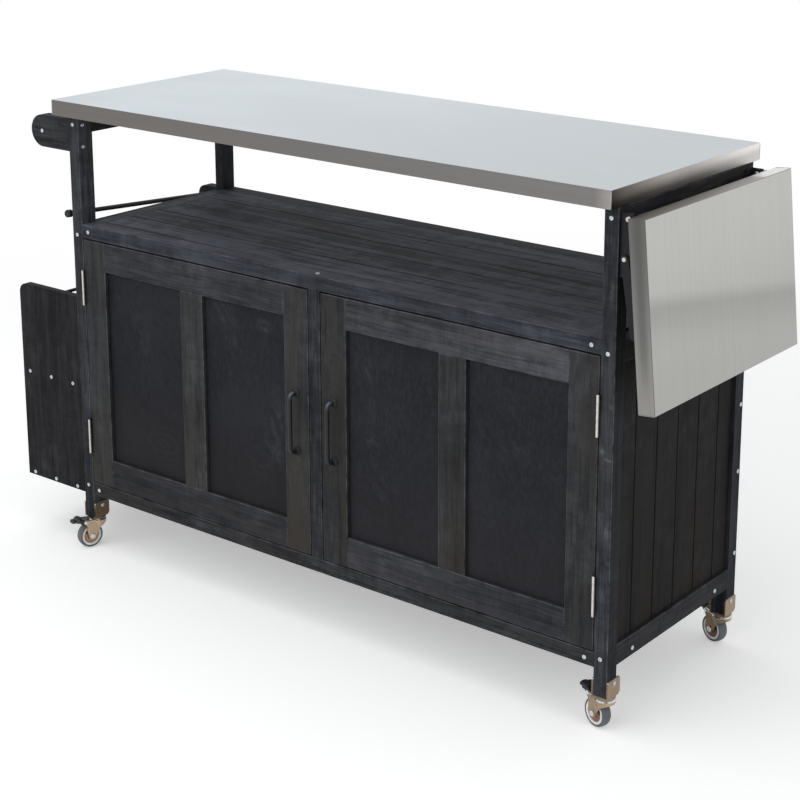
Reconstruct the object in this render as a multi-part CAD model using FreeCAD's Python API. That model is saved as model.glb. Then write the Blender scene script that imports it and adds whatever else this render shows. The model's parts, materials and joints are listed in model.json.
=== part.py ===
import FreeCAD, Part

import math
import os

from FreeCAD import Vector

os.makedirs("parts", exist_ok=True)

# Grill cart with storage. Millimetres, +Z up, floor at z = 0.
# X runs along the worktop, -Y is the side with the doors.

# overall sizes
worktop_height = 900.0
worktop_length = 1236.0
worktop_depth = 460.0
tray_depth = 30.0
tray_sheet = 1.0
fold_radius = 1.5
front_overhang = 24.0
frame_length = 1220.0
frame_depth = 416.0

# timber sections
timber_thin = 26.0
timber_wide = 36.0
rebate_depth = 8.0
rebate_width = 18.0
eased_radius = 1.5

# heights of the frame
leg_bottom = 65.0
deck_height = 661.0
side_rail_drop = 4.0
bottom_rail_base = 113.0

# boards
board_pitch = 66.0
board_thickness = 10.0
board_recess = 6.0
board_groove_depth = 8.0
board_end_gap = 0.5
plank_thickness = 14.0
plank_count = 5
plank_seat = 12.0
back_plank_count = 4
back_recess = 2.0
vee_size = 2.0
tongue_length = 5.0
tongue_thickness = 4.0
tongue_clearance = 0.3
deck_batten_height = 26.0

# inner shelf
shelf_height = 392.0
shelf_thickness = 12.0
shelf_front_setback = 43.0
shelf_gap = 2.0
cleat_size = 20.0

# doors
door_thickness = 20.0
door_side_gap = 2.0
door_bottom_gap = 2.0
door_top_gap = 3.0
door_frame_width = 56.0
panel_thickness = 6.0
panel_recess = 8.0
panel_groove_depth = 8.0
panel_clearance = 0.15
door_edge_radius = 1.0

# door handles
handle_spacing = 108.0
handle_projection = 22.0
handle_radius = 4.0
handle_shoulder = 9.0
handle_foot_radius = 7.5
handle_foot_height = 8.0

# butt hinges
hinge_length = 68.0
hinge_leaf_width = 20.0
hinge_leaf_thickness = 0.9
hinge_barrel_radius = 3.0
hinge_pin_radius = 1.6
hinge_standoff = 0.2
hinge_cap_height = 1.0
hinge_inset = 95.0
knuckle_count = 5
knuckle_gap = 0.2
running_clearance = 0.05
cut_overrun = 1.0

# magnetic catches
catch_length = 44.0
catch_depth = 16.0
catch_height = 13.0
catch_offset = 24.0
strike_thickness = 1.5
strike_gap = 0.3

# drop leaf and its folding brackets
leaf_length = 300.0
leaf_gap = 6.0
leaf_tilt = 5.3
pivot_offset = 13.0
pivot_drop = 17.0
bracket_sheet = 3.0
bracket_setback = 5.0
bracket_width = 25.0
bracket_reach = 22.0
bracket_rise = 9.0
bracket_height = 100.0
pivot_pin_radius = 4.0
stay_pin_radius = 3.5
pin_head_extra = 1.6
pin_head_height = 3.0
arm_length = 198.0
arm_edge = 8.0
arm_nose_radius = 9.0
arm_gap = 0.5
arm_flange_width = 24.0
arm_end_cut = 10.0
stay_pivot_drop = 62.0
stay_pivot_inset = 3.0
stay_stud_distance = 180.0
stay_width = 14.0
stay_sheet = 2.5
slot_width = 7.0
slot_clearance = 0.3

# towel bar at the left end
bar_bracket_length = 105.0
bar_bracket_height = 62.0
bar_bracket_thickness = 22.0
bar_bracket_top_drop = 9.0
towel_bar_radius = 8.0

# roll rod at the left end
roll_bracket_length = 56.0
roll_bracket_height = 38.0
roll_bracket_drop = 21.0
roll_rod_radius = 4.5
roll_knob_radius = 7.5
roll_knob_length = 12.0
roll_front_rise = 14.0
roll_front_offset = 14.0
roll_front_setback = 10.0
eye_ring_radius = 7.0
eye_wire_radius = 1.6
eye_setback = 27.0
eye_rest_gap = 0.3

# side rack at the left end
rack_width = 166.0
rack_top = 514.0
rack_board_thickness = 15.0
rack_corner_radius = 19.0
rack_shelf_thickness = 14.0
rack_middle_shelf = 327.0
guard_rod_radius = 3.5
guard_rod_drop = 40.0
guard_rod_inset = 19.0
guard_rod_socket = 8.0

# casters
wheel_radius = 25.0
wheel_width = 18.0
tyre_wall = 4.7
tyre_shoulder = 2.0
hub_lip = 4.6
hub_recess = 3.0
hub_boss_radius = 8.0
caster_trail = 18.0
clamp_sheet = 2.5
clamp_ear_height = 29.0
clamp_corner_radius = 4.0
clamp_chamfer = 5.0
race_radius = 17.0
race_height = 3.5
race_gap = 0.3
kingpin_radius = 4.0
kingpin_head_radius = 7.0
kingpin_head_height = 2.2
fork_sheet = 2.5
fork_cheek = 2.0
fork_side_gap = 1.0
fork_top_gap = 3.0
hub_side_gap = 0.5
axle_radius = 4.0
axle_head_radius = 6.0
axle_head_height = 2.5
fork_boss_margin = 3.0
fork_lug_margin = 2.0
fork_throat = 11.0
pedal_pivot_back = 31.0
pedal_pivot_rise = 6.0
pedal_pin_radius = 2.5
pedal_hub_radius = 4.6
pedal_rivet_head = 1.0
pedal_reach = 27.0
pedal_width = 26.0
pedal_tread_rise = 11.0
pedal_tread_edge = 3.5
pedal_tread_slope = 1.5
pedal_heel_back = 7.0
pedal_heel_rise = 6.8
pedal_lobe_drop = 9.0
pedal_lobe_reach = 6.0
caster_yaw = {"front_left": 75.0, "front_right": -18.0, "rear_left": -60.0, "rear_right": -19.0}

# visible screw heads
screw_head_radius = 4.5
screw_head_height = 2.0
rail_screw_inset = 17.0
plank_screw_inset = 9.0
plank_screw_offsets = (35.0, 63.0, 61.0, 74.0)
side_screw_offset = 134.0
rack_screw_inset = 20.0

# worked-out places
half_length = frame_length / 2
half_depth = frame_depth / 2
post_top = worktop_height - tray_depth
post_inner_x = half_length - timber_thin
post_inner_y = half_depth - timber_wide
deck_base = deck_height - timber_thin
floor_height = bottom_rail_base + timber_thin
side_rail_top = deck_height - side_rail_drop
shoulder_y = post_inner_y + rebate_depth
worktop_front = -half_depth - front_overhang
worktop_back = worktop_front + worktop_depth
worktop_left = half_length - worktop_length
door_front = -half_depth
door_back = door_front + door_thickness
door_base = floor_height + door_bottom_gap
door_top = deck_base - door_top_gap
door_hinge_x = post_inner_x - door_side_gap
door_meeting_x = timber_thin / 2 + door_side_gap
hinge_axis_x = post_inner_x - door_side_gap / 2
hinge_axis_y = door_front - hinge_barrel_radius - hinge_standoff
leg_x = half_length - timber_thin / 2
leg_y = half_depth - timber_wide / 2


def box(x0, x1, y0, y1, z0, z1):
    return Part.makeBox(x1 - x0, y1 - y0, z1 - z0, Vector(x0, y0, z0))


def cylinder(start, end, radius):
    direction = end - start
    return Part.makeCylinder(radius, direction.Length, start, direction)


def face_from(points):
    return Part.Face(Part.makePolygon(points + [points[0]]))


def prism_along_y(points, y0, y1):
    outline = [Vector(x, y0, z) for x, z in points]
    return face_from(outline).extrude(Vector(0, y1 - y0, 0))


def one_solid(pieces):
    return pieces[0].fuse(pieces[1:]).removeSplitter().Solids[0]


def long_edges(shape, axis, length):
    found = []
    for edge in shape.Edges:
        tangent = edge.tangentAt(edge.FirstParameter)
        if abs(abs(tangent.dot(axis)) - 1) < 1e-6 and abs(edge.Length - length) < 0.01:
            found.append(edge)
    return found


def eased_bar(x0, x1, y0, y1, z0, z1, radius=eased_radius):
    """A timber with its four long edges rounded."""
    bar = box(x0, x1, y0, y1, z0, z1)
    sizes = (x1 - x0, y1 - y0, z1 - z0)
    longest = sizes.index(max(sizes))
    axis = (Vector(1, 0, 0), Vector(0, 1, 0), Vector(0, 0, 1))[longest]
    return bar.makeFillet(radius, long_edges(bar, axis, sizes[longest]))


def mirrored_x(shape):
    return shape.mirror(Vector(0, 0, 0), Vector(1, 0, 0))


def mirrored_y(shape):
    return shape.mirror(Vector(0, 0, 0), Vector(0, 1, 0))


def both_ends(shape):
    return [shape, mirrored_x(shape)]


def front_and_back(shape):
    return [shape, mirrored_y(shape)]


def turned(shape, centre, axis, degrees):
    copy = shape.copy()
    copy.rotate(centre, axis, degrees)
    return copy


# posts and rails


def posts():
    """Post with a rebate along its outer corner for rail ends and boards."""
    post = eased_bar(-half_length, -post_inner_x, -half_depth, -post_inner_y, leg_bottom, post_top)
    rebate_x = -half_length + rebate_width
    front_left = post.cut(box(-half_length, rebate_x, -shoulder_y, -post_inner_y, leg_bottom, post_top))
    front = both_ends(front_left)
    return front, [mirrored_y(shape) for shape in front]


def side_rail(base, groove_at):
    """Rail from post to post, its ends lapped into the rebates."""
    x0, x1 = -half_length, -post_inner_x
    rail = eased_bar(x0, x1, -shoulder_y, shoulder_y, base, base + timber_wide)
    for side in (-1, 1):
        y0, y1 = sorted((side * post_inner_y, side * shoulder_y))
        rail = rail.cut(box(x0 + rebate_width, x1, y0, y1, base, base + timber_wide))
    if groove_at is not None:
        groove_front = x0 + board_recess
        groove_back = groove_front + board_thickness + tongue_clearance
        rail = rail.cut(box(groove_front, groove_back, -shoulder_y, shoulder_y, *groove_at))
    return both_ends(rail)


def side_rails():
    bottom_top = bottom_rail_base + timber_wide
    deck_rail_base = side_rail_top - timber_wide
    return {
        "top_side_rails": side_rail(post_top - timber_wide, None),
        "deck_side_rails": side_rail(deck_rail_base, (deck_rail_base, deck_rail_base + board_groove_depth)),
        "bottom_side_rails": side_rail(bottom_rail_base, (bottom_top - board_groove_depth, bottom_top)),
    }


def long_rails(base):
    rail = eased_bar(-post_inner_x, post_inner_x, -half_depth, -post_inner_y, base, base + timber_thin)
    return front_and_back(rail)


def end_strips():
    """Strips beside the side rails, rebated for the plank ends."""
    strips = []
    for top in (deck_height, floor_height):
        inner_x = post_inner_x - timber_wide
        strip = box(-post_inner_x, -inner_x, -post_inner_y, post_inner_y, top - timber_thin, top)
        seat = box(-inner_x - plank_seat, -inner_x, -post_inner_y, post_inner_y, top - plank_thickness, top)
        strips += both_ends(strip.cut(seat))
    return strips


def centre_post():
    half = timber_thin / 2
    return [eased_bar(-half, half, -half_depth, -post_inner_y, floor_height, deck_base)]


# tongued and grooved boards


def board_outline(u0, u1, thickness, has_tongue, has_groove):
    """Section of one board: u across the board, t into its thickness."""
    middle = thickness / 2
    tongue = tongue_thickness / 2
    slot = tongue + tongue_clearance / 2
    depth = tongue_length + tongue_clearance
    points = [(u0 + vee_size, 0), (u1 - vee_size, 0), (u1, vee_size)]
    if has_groove:
        points += [(u1, middle - slot), (u1 - depth, middle - slot)]
        points += [(u1 - depth, middle + slot), (u1, middle + slot)]
    points += [(u1, thickness), (u0, thickness)]
    if has_tongue:
        points += [(u0, middle + tongue), (u0 - tongue_length, middle + tongue)]
        points += [(u0 - tongue_length, middle - tongue), (u0, middle - tongue)]
    return points + [(u0, vee_size)]


def board_row(joints, thickness, length, place):
    """Boards side by side. place(u, t, l) gives a point in space."""
    boards = []
    last = len(joints) - 2
    run = place(0, 0, length) - place(0, 0, 0)
    for number in range(last + 1):
        outline = board_outline(joints[number], joints[number + 1], thickness, number > 0, number < last)
        face = face_from([place(u, t, 0) for u, t in outline])
        boards.append(face.extrude(run))
    return boards


def even_joints(start, end, count):
    pitch = (end - start) / count
    return [start + pitch * number for number in range(count + 1)]


def side_boards():
    """Upright boards with a joint in the middle and trimmed outer boards."""
    steps = int((shoulder_y - vee_size * 2) // board_pitch)
    joints = [-shoulder_y] + [board_pitch * step for step in range(-steps, steps + 1)] + [shoulder_y]
    base = bottom_rail_base + timber_wide - board_groove_depth
    top = side_rail_top - timber_wide + board_groove_depth - board_end_gap
    outer_x = half_length - board_recess
    right = board_row(joints, board_thickness, top - base, lambda u, t, l: Vector(outer_x - t, u, base + l))
    return right + [mirrored_x(board) for board in right]


def planks(top):
    reach = post_inner_x - timber_wide + plank_seat
    joints = even_joints(-post_inner_y, post_inner_y, plank_count)
    return board_row(joints, plank_thickness, 2 * reach, lambda u, t, l: Vector(l - reach, u, top - t))


def back_planks():
    joints = even_joints(floor_height, deck_base, back_plank_count)
    outer_y = half_depth - back_recess
    reach = post_inner_x
    return board_row(joints, plank_thickness, 2 * reach, lambda u, t, l: Vector(l - reach, outer_y - t, u))


def inner_battens():
    """Battens under the planks and cleats for the inner shelf."""
    half = timber_wide / 2
    pieces = []
    for top, height in ((deck_height, deck_batten_height), (floor_height, timber_thin - plank_thickness)):
        batten_top = top - plank_thickness
        pieces.append(box(-half, half, -post_inner_y, post_inner_y, batten_top - height, batten_top))
    cleat_top = shelf_height - shelf_thickness
    cleat_x = -(half_length - board_recess - board_thickness)
    cleat_base = cleat_top - cleat_size
    cleat = box(cleat_x, cleat_x + cleat_size, -post_inner_y, post_inner_y, cleat_base, cleat_top)
    return pieces + both_ends(cleat)


def inner_shelf():
    reach = post_inner_x - shelf_gap
    front = -half_depth + shelf_front_setback
    back = half_depth - back_recess - plank_thickness - shelf_gap
    return [box(-reach, reach, front, back, shelf_height - shelf_thickness, shelf_height)]


# steel trays


def tray(x0, x1, y0, y1, top):
    """Folded sheet with a lip on all four sides, open below."""
    outer = box(x0, x1, y0, y1, top - tray_depth, top)
    upper = [edge for edge in outer.Edges if edge.CenterOfMass.z > top - tray_depth / 2 - 0.01]
    outer = outer.makeFillet(fold_radius, upper)
    skin = tray_sheet
    return outer.cut(box(x0 + skin, x1 - skin, y0 + skin, y1 - skin, top - tray_depth, top - skin))


def tray_core(x0, x1, y0, y1, top):
    skin = tray_sheet
    return box(x0 + skin, x1 - skin, y0 + skin, y1 - skin, top - tray_depth, top - skin)


def worktop():
    extent = (worktop_left, half_length, worktop_front, worktop_back, worktop_height)
    return {"worktop_skin": [tray(*extent)], "worktop_core": [tray_core(*extent)]}


# drop leaf, drawn level and then hung down

pivot = Vector(half_length + pivot_offset, 0, post_top - pivot_drop)
leaf_swing = 90.0 - leaf_tilt
stay_pivot = pivot + Vector(-stay_pivot_inset, 0, -stay_pivot_drop)
flange_y = -half_depth + bracket_setback
web_y = flange_y + bracket_sheet + arm_gap
stay_y = flange_y - arm_gap


def hung(shape):
    return turned(shape, pivot, Vector(0, 1, 0), leaf_swing)


def along_leaf(distance, swing):
    """A point on the slot line of the arm, for a leaf raised by swing degrees."""
    angle = math.radians(swing - leaf_swing)
    return pivot + Vector(distance * math.cos(angle), 0, distance * math.sin(angle))


def stay_geometry():
    """Length of the stay and how far it turns while the leaf is raised."""
    folded = along_leaf(stay_stud_distance, 0) - stay_pivot
    length = folded.Length
    raised_run = math.sqrt(length ** 2 - stay_pivot_drop ** 2)
    raised = Vector(raised_run, 0, stay_pivot_drop)
    start = math.degrees(math.atan2(folded.z, folded.x))
    end = math.degrees(math.atan2(raised.z, raised.x))
    return length, start, end - start, raised_run - stay_pivot_inset


stay_length, stay_start_angle, stay_swing, stay_reach_raised = stay_geometry()


def bar_with_round_ends(length, width, y0, y1):
    half = width / 2
    middle = box(0, length, y0, y1, -half, half)
    near = cylinder(Vector(0, y0, 0), Vector(0, y1, 0), half)
    far = cylinder(Vector(length, y0, 0), Vector(length, y1, 0), half)
    return one_solid([middle, near, far])


def leaf():
    left = half_length + leaf_gap
    extent = (left, left + leaf_length, worktop_front, worktop_back, worktop_height)
    return {"leaf_skin": [hung(tray(*extent))], "leaf_core": [hung(tray_core(*extent))]}


def leaf_arms():
    """Angle arms under the leaf: a slotted web with a round nose, and a flange."""
    near = half_length + leaf_gap
    far = near + arm_length
    under = post_top
    outline = [(near, under), (far, under), (far, pivot.z), (far - arm_end_cut, pivot.z - arm_edge)]
    outline += [(pivot.x, pivot.z - arm_edge)]
    web = prism_along_y(outline, web_y, web_y + bracket_sheet)
    nose_start = Vector(pivot.x, web_y, pivot.z)
    nose = cylinder(nose_start, nose_start + Vector(0, bracket_sheet, 0), arm_nose_radius)
    flange = box(near, far, web_y, web_y + arm_flange_width, under - bracket_sheet, under)
    arm = one_solid([web, nose, flange])
    hole = cylinder(
        nose_start, nose_start + Vector(0, bracket_sheet, 0), pivot_pin_radius + running_clearance
    )
    slot_travel = stay_stud_distance - stay_reach_raised
    slot = bar_with_round_ends(slot_travel, slot_width, web_y, web_y + bracket_sheet)
    slot.translate(Vector(pivot.x + stay_reach_raised, 0, pivot.z))
    return [hung(part) for part in front_and_back(arm.cut(hole).cut(slot))]


def bracket_plates():
    """Fixed angle on the post that carries the two pins."""
    top = pivot.z + bracket_rise
    base = top - bracket_height
    plate = box(half_length, half_length + bracket_sheet, flange_y, flange_y + bracket_width, base, top)
    reach = half_length + bracket_reach
    cut = bracket_reach / 2
    outline = [(half_length, top), (half_length, base), (reach - cut, base)]
    outline += [(reach, base + cut), (reach, top)]
    flange = prism_along_y(outline, flange_y, flange_y + bracket_sheet)
    angle = one_solid([plate, flange])
    for centre, radius in ((pivot, pivot_pin_radius), (stay_pivot, stay_pin_radius)):
        start = Vector(centre.x, flange_y - cut_overrun, centre.z)
        end = start + Vector(0, bracket_sheet + 2 * cut_overrun, 0)
        angle = angle.cut(cylinder(start, end, radius + running_clearance / 2))
    return front_and_back(angle)


def bracket_pins():
    """Pivot pin of the arm and pivot pin of the stay, with round heads."""
    arm_start = Vector(pivot.x, flange_y - pin_head_height, pivot.z)
    arm_end = web_y + bracket_sheet + arm_gap
    arm_pin = one_solid([
        cylinder(arm_start, Vector(pivot.x, arm_end + pin_head_height, pivot.z), pivot_pin_radius),
        cylinder(arm_start, arm_start + Vector(0, pin_head_height, 0), pivot_pin_radius + pin_head_extra),
        cylinder(
            Vector(pivot.x, arm_end, pivot.z),
            Vector(pivot.x, arm_end + pin_head_height, pivot.z),
            pivot_pin_radius + pin_head_extra,
        ),
    ])
    head_end = stay_y - stay_sheet - arm_gap / 2
    stay_pin = one_solid([
        cylinder(
            Vector(stay_pivot.x, head_end - pin_head_height, stay_pivot.z),
            Vector(stay_pivot.x, flange_y + bracket_sheet, stay_pivot.z),
            stay_pin_radius,
        ),
        cylinder(
            Vector(stay_pivot.x, head_end - pin_head_height, stay_pivot.z),
            Vector(stay_pivot.x, head_end, stay_pivot.z),
            stay_pin_radius + pin_head_extra,
        ),
    ])
    return front_and_back(arm_pin) + front_and_back(stay_pin)


def stays():
    """Flat stay with its sliding stud, which stops just short of the slotted web."""
    bar = bar_with_round_ends(stay_length, stay_width, stay_y - stay_sheet, stay_y)
    hole = cylinder(
        Vector(0, stay_y - stay_sheet, 0), Vector(0, stay_y, 0), stay_pin_radius + running_clearance
    )
    stud_radius = slot_width / 2 - slot_clearance
    stud_end = Vector(stay_length, web_y - arm_gap, 0)
    stud = cylinder(Vector(stay_length, stay_y - stay_sheet, 0), stud_end, stud_radius)
    head = cylinder(
        Vector(stay_length, stay_y - stay_sheet - pin_head_height / 2, 0),
        Vector(stay_length, stay_y - stay_sheet, 0),
        stud_radius + pin_head_extra,
    )
    stay = one_solid([bar.cut(hole), stud, head])
    stay.rotate(Vector(0, 0, 0), Vector(0, 1, 0), -stay_start_angle)
    stay.translate(stay_pivot)
    return front_and_back(stay)


# left end: towel bar, roll rod and rack


def round_end_board(length, height, thickness, centre_z, y0):
    """Board that butts against the post and ends in a half round."""
    radius = height / 2
    centre_x = -half_length - length + radius
    body = box(centre_x, -half_length, y0, y0 + thickness, centre_z - radius, centre_z + radius)
    end = cylinder(Vector(centre_x, y0, centre_z), Vector(centre_x, y0 + thickness, centre_z), radius)
    return one_solid([body, end])


towel_bar_z = post_top - bar_bracket_top_drop - bar_bracket_height / 2
towel_bar_x = -half_length - bar_bracket_length + bar_bracket_height / 2
roll_end_x = -half_length - roll_bracket_length + roll_bracket_height / 2
roll_end_z = deck_height - roll_bracket_drop
roll_front_z = deck_height + roll_front_rise
roll_rear = Vector(roll_end_x, half_depth - bar_bracket_thickness, roll_end_z)
roll_front = Vector(-half_length - roll_front_offset, -half_depth + roll_front_setback, roll_front_z)


def rod_brackets():
    towel = round_end_board(
        bar_bracket_length, bar_bracket_height, bar_bracket_thickness, towel_bar_z, -half_depth
    )
    roll_y = half_depth - bar_bracket_thickness
    height = roll_bracket_height
    roll = round_end_board(roll_bracket_length, height, bar_bracket_thickness, roll_end_z, roll_y)
    return front_and_back(towel) + [roll]


def towel_bar():
    reach = half_depth - bar_bracket_thickness
    start, end = Vector(towel_bar_x, -reach, towel_bar_z), Vector(towel_bar_x, reach, towel_bar_z)
    return [cylinder(start, end, towel_bar_radius)]


def roll_rod():
    """Rod that runs down to the rear bracket, with a knob on its front end."""
    direction = (roll_rear - roll_front).normalize()
    rod = cylinder(roll_front, roll_rear, roll_rod_radius)
    knob = cylinder(roll_front - direction * roll_knob_length, roll_front, roll_knob_radius)
    knob = knob.makeFillet(roll_knob_length / 5, [knob.Edges[0], knob.Edges[2]])
    flush = box(-2 * half_length, 0, roll_rear.y, roll_rear.y + timber_wide, 0, worktop_height)
    return [one_solid([rod, knob]).cut(flush).Solids[0]]


def rod_eye():
    """Screw eye on the post in which the front of the roll rod rests."""
    share = (eye_setback - roll_front_setback) / (roll_rear.y - roll_front.y)
    centre = roll_front + (roll_rear - roll_front) * share
    lift = eye_ring_radius - eye_wire_radius - roll_rod_radius - eye_rest_gap
    centre = centre + Vector(0, 0, lift)
    ring = Part.makeTorus(eye_ring_radius, eye_wire_radius, centre, Vector(0, 1, 0))
    shank_end = Vector(-half_length, centre.y, centre.z)
    shank = cylinder(centre + Vector(eye_ring_radius, 0, 0), shank_end, eye_wire_radius)
    return [one_solid([ring, shank])]


def rack():
    outer = -half_length - rack_width
    inner_y = half_depth - rack_board_thickness
    board = box(outer, -half_length, -half_depth, -inner_y, bottom_rail_base, rack_top)
    corner = [
        edge for edge in board.Edges
        if abs(edge.CenterOfMass.x - outer) < 0.01 and abs(edge.CenterOfMass.z - rack_top) < 0.01
    ]
    board = board.makeFillet(rack_corner_radius, corner)
    reach = inner_y + guard_rod_socket
    rod_z = rack_top - guard_rod_drop
    rod_start = Vector(outer + guard_rod_inset, -reach, rod_z)
    rod_end = Vector(outer + guard_rod_inset, reach, rod_z)
    rod = cylinder(rod_start, rod_end, guard_rod_radius)
    board = board.cut(cylinder(rod_start, rod_end, guard_rod_radius + running_clearance))
    shelves = [
        box(outer, -half_length, -inner_y, inner_y, base, base + rack_shelf_thickness)
        for base in (bottom_rail_base, rack_middle_shelf)
    ]
    return {"rack_end_boards": front_and_back(board), "rack_shelves": shelves, "rack_guard_rod": [rod]}


# doors, drawn at the left and mirrored for the right


def groove(x0, x1, z0, z1):
    middle = door_front + panel_recess + panel_thickness / 2
    half = panel_thickness / 2 + panel_clearance
    return box(x0, x1, middle - half, middle + half, z0, z1)


def tongue(x0, x1, z0, z1):
    front = door_front + panel_recess
    return box(x0, x1, front, front + panel_thickness, z0, z1)


def door_member(x0, x1, z0, z1):
    return eased_bar(x0, x1, door_front, door_back, z0, z1, door_edge_radius)


def door_frame():
    """Two stiles, two rails and a middle stile, grooved for the panels."""
    x0, x1 = -door_hinge_x, -door_meeting_x
    width, depth = door_frame_width, panel_groove_depth
    in0, in1 = x0 + width, x1 - width
    low, high = door_base + width, door_top - width
    middle = (x0 + x1) / 2
    mid0, mid1 = middle - width / 2, middle + width / 2
    stiles = [
        door_member(x0, in0, door_base, door_top).cut(groove(in0 - depth, in0, door_base, door_top)),
        door_member(in1, x1, door_base, door_top).cut(groove(in1, in1 + depth, door_base, door_top)),
    ]
    rails = []
    for z0, z1, edge0, edge1 in ((door_base, low, low - depth, low), (high, door_top, high, high + depth)):
        rail = door_member(in0, in1, z0, z1).cut(groove(in0, in1, edge0, edge1))
        stub0, stub1 = (z0, edge0) if edge0 > z0 else (edge1, z1)
        ends = [tongue(in0 - depth, in0, stub0, stub1), tongue(in1, in1 + depth, stub0, stub1)]
        rails.append(one_solid([rail] + ends))
    post = door_member(mid0, mid1, low, high)
    post = post.cut(groove(mid0, mid0 + depth, low, high)).cut(groove(mid1 - depth, mid1, low, high))
    stub0, stub1 = mid0 + depth, mid1 - depth
    ends = [tongue(stub0, stub1, low - depth, low), tongue(stub0, stub1, high, high + depth)]
    return stiles + rails + [one_solid([post] + ends)]


def door_panels():
    x0, x1 = -door_hinge_x + door_frame_width, -door_meeting_x - door_frame_width
    middle = (x0 + x1) / 2
    reach = panel_groove_depth - panel_clearance
    z0, z1 = door_base + door_frame_width - reach, door_top - door_frame_width + reach
    half = door_frame_width / 2
    spans = ((x0, middle - half), (middle + half, x1))
    return [tongue(a - reach, b + reach, z0, z1) for a, b in spans]


def door_handle():
    """Straight pull on two posts, with rounded shoulders and flared feet."""
    x = -door_meeting_x - door_frame_width / 2
    z = (door_base + door_top) / 2
    half = handle_spacing / 2
    grip_y = door_front - handle_projection + handle_radius
    bend_y = grip_y + handle_shoulder
    straight = half - handle_shoulder
    parts = [cylinder(Vector(x, grip_y, z - straight), Vector(x, grip_y, z + straight), handle_radius)]
    for side in (-1, 1):
        foot = Vector(x, door_front, z + side * half)
        centre = Vector(x, bend_y, z + side * straight)
        shoulder = Part.makeTorus(handle_shoulder, handle_radius, centre, Vector(1, 0, 0), 0, 360, 90)
        middle = shoulder.CenterOfMass - centre
        middle_angle = math.degrees(math.atan2(middle.z, middle.y))
        shoulder.rotate(centre, Vector(1, 0, 0), side * 135.0 - middle_angle)
        flare = Part.makeCone(handle_foot_radius, handle_radius, handle_foot_height, foot, Vector(0, -1, 0))
        parts += [shoulder, cylinder(foot, Vector(x, bend_y, foot.z), handle_radius), flare]
    return [one_solid(parts)]


def hinge_centres():
    return (door_base + hinge_inset, door_top - hinge_inset)


def hinge_leaf(on_post):
    """One leaf with its own knuckles, notched where the other leaf's knuckles turn."""
    if on_post:
        x0, x1 = -post_inner_x, -post_inner_x + hinge_leaf_thickness
    else:
        x0, x1 = -door_hinge_x - hinge_leaf_thickness, -door_hinge_x
    knuckle = hinge_length / knuckle_count
    leaves = []
    for centre in hinge_centres():
        base = centre - hinge_length / 2
        parts = [box(x0, x1, door_front, door_front + hinge_leaf_width, base, base + hinge_length)]
        for number in range(knuckle_count):
            if (number % 2 == 0) != on_post:
                continue
            z0 = base + number * knuckle + knuckle_gap / 2
            z1 = z0 + knuckle - knuckle_gap
            low, high = Vector(-hinge_axis_x, hinge_axis_y, z0), Vector(-hinge_axis_x, hinge_axis_y, z1)
            parts.append(cylinder(low, high, hinge_barrel_radius))
            parts.append(box(x0, x1, hinge_axis_y + hinge_pin_radius, door_front + cut_overrun, z0, z1))
        bore = cylinder(
            Vector(-hinge_axis_x, hinge_axis_y, base - cut_overrun),
            Vector(-hinge_axis_x, hinge_axis_y, base + hinge_length + cut_overrun),
            hinge_pin_radius + running_clearance,
        )
        leaves.append(one_solid(parts).cut(bore).Solids[0])
    return leaves


def hinge_pins():
    pins = []
    for centre in hinge_centres():
        low = Vector(-hinge_axis_x, hinge_axis_y, centre - hinge_length / 2)
        high = Vector(-hinge_axis_x, hinge_axis_y, centre + hinge_length / 2)
        cap = Vector(0, 0, hinge_cap_height)
        shank = cylinder(low, high, hinge_pin_radius)
        pins.append(one_solid([shank, cylinder(high, high + cap, hinge_barrel_radius)]))
    return pins


def door_catches():
    """Magnetic catches under the deck rail, one for each door."""
    x1 = -door_meeting_x - catch_offset
    front = door_back + strike_thickness + strike_gap
    catch = box(x1 - catch_length, x1, front, front + catch_depth, deck_base - catch_height, deck_base)
    return both_ends(catch)


def door_strike():
    x1 = -door_meeting_x - catch_offset
    back = door_back + strike_thickness
    return [box(x1 - catch_length, x1, door_back, back, deck_base - catch_height, door_top)]


def doors():
    left = {
        "door_frame": door_frame(),
        "door_panels": door_panels(),
        "door_handle": door_handle(),
        "door_plates": hinge_leaf(False) + door_strike(),
    }
    nodes = {}
    for name, shapes in left.items():
        nodes["left_" + name] = shapes
        nodes["right_" + name] = [mirrored_x(shape) for shape in shapes]
    return nodes


# casters, drawn with the swivel axis at the origin and the wheel trailing to -X

plate_base = leg_bottom - clamp_sheet
race_base = plate_base - race_height
fork_race_top = race_base - race_gap
fork_top = 2 * wheel_radius + fork_top_gap + fork_sheet
cheek_inner = wheel_width / 2 + fork_side_gap
cheek_outer = cheek_inner + fork_cheek
pedal_pivot = Vector(-pedal_pivot_back, 0, 2 * wheel_radius + pedal_pivot_rise)
axle_centre = Vector(-caster_trail, 0, wheel_radius)


def across(centre, y0, y1, radius):
    return cylinder(Vector(centre.x, y0, centre.z), Vector(centre.x, y1, centre.z), radius)


def upright(radius, z0, z1):
    return cylinder(Vector(0, 0, z0), Vector(0, 0, z1), radius)


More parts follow.
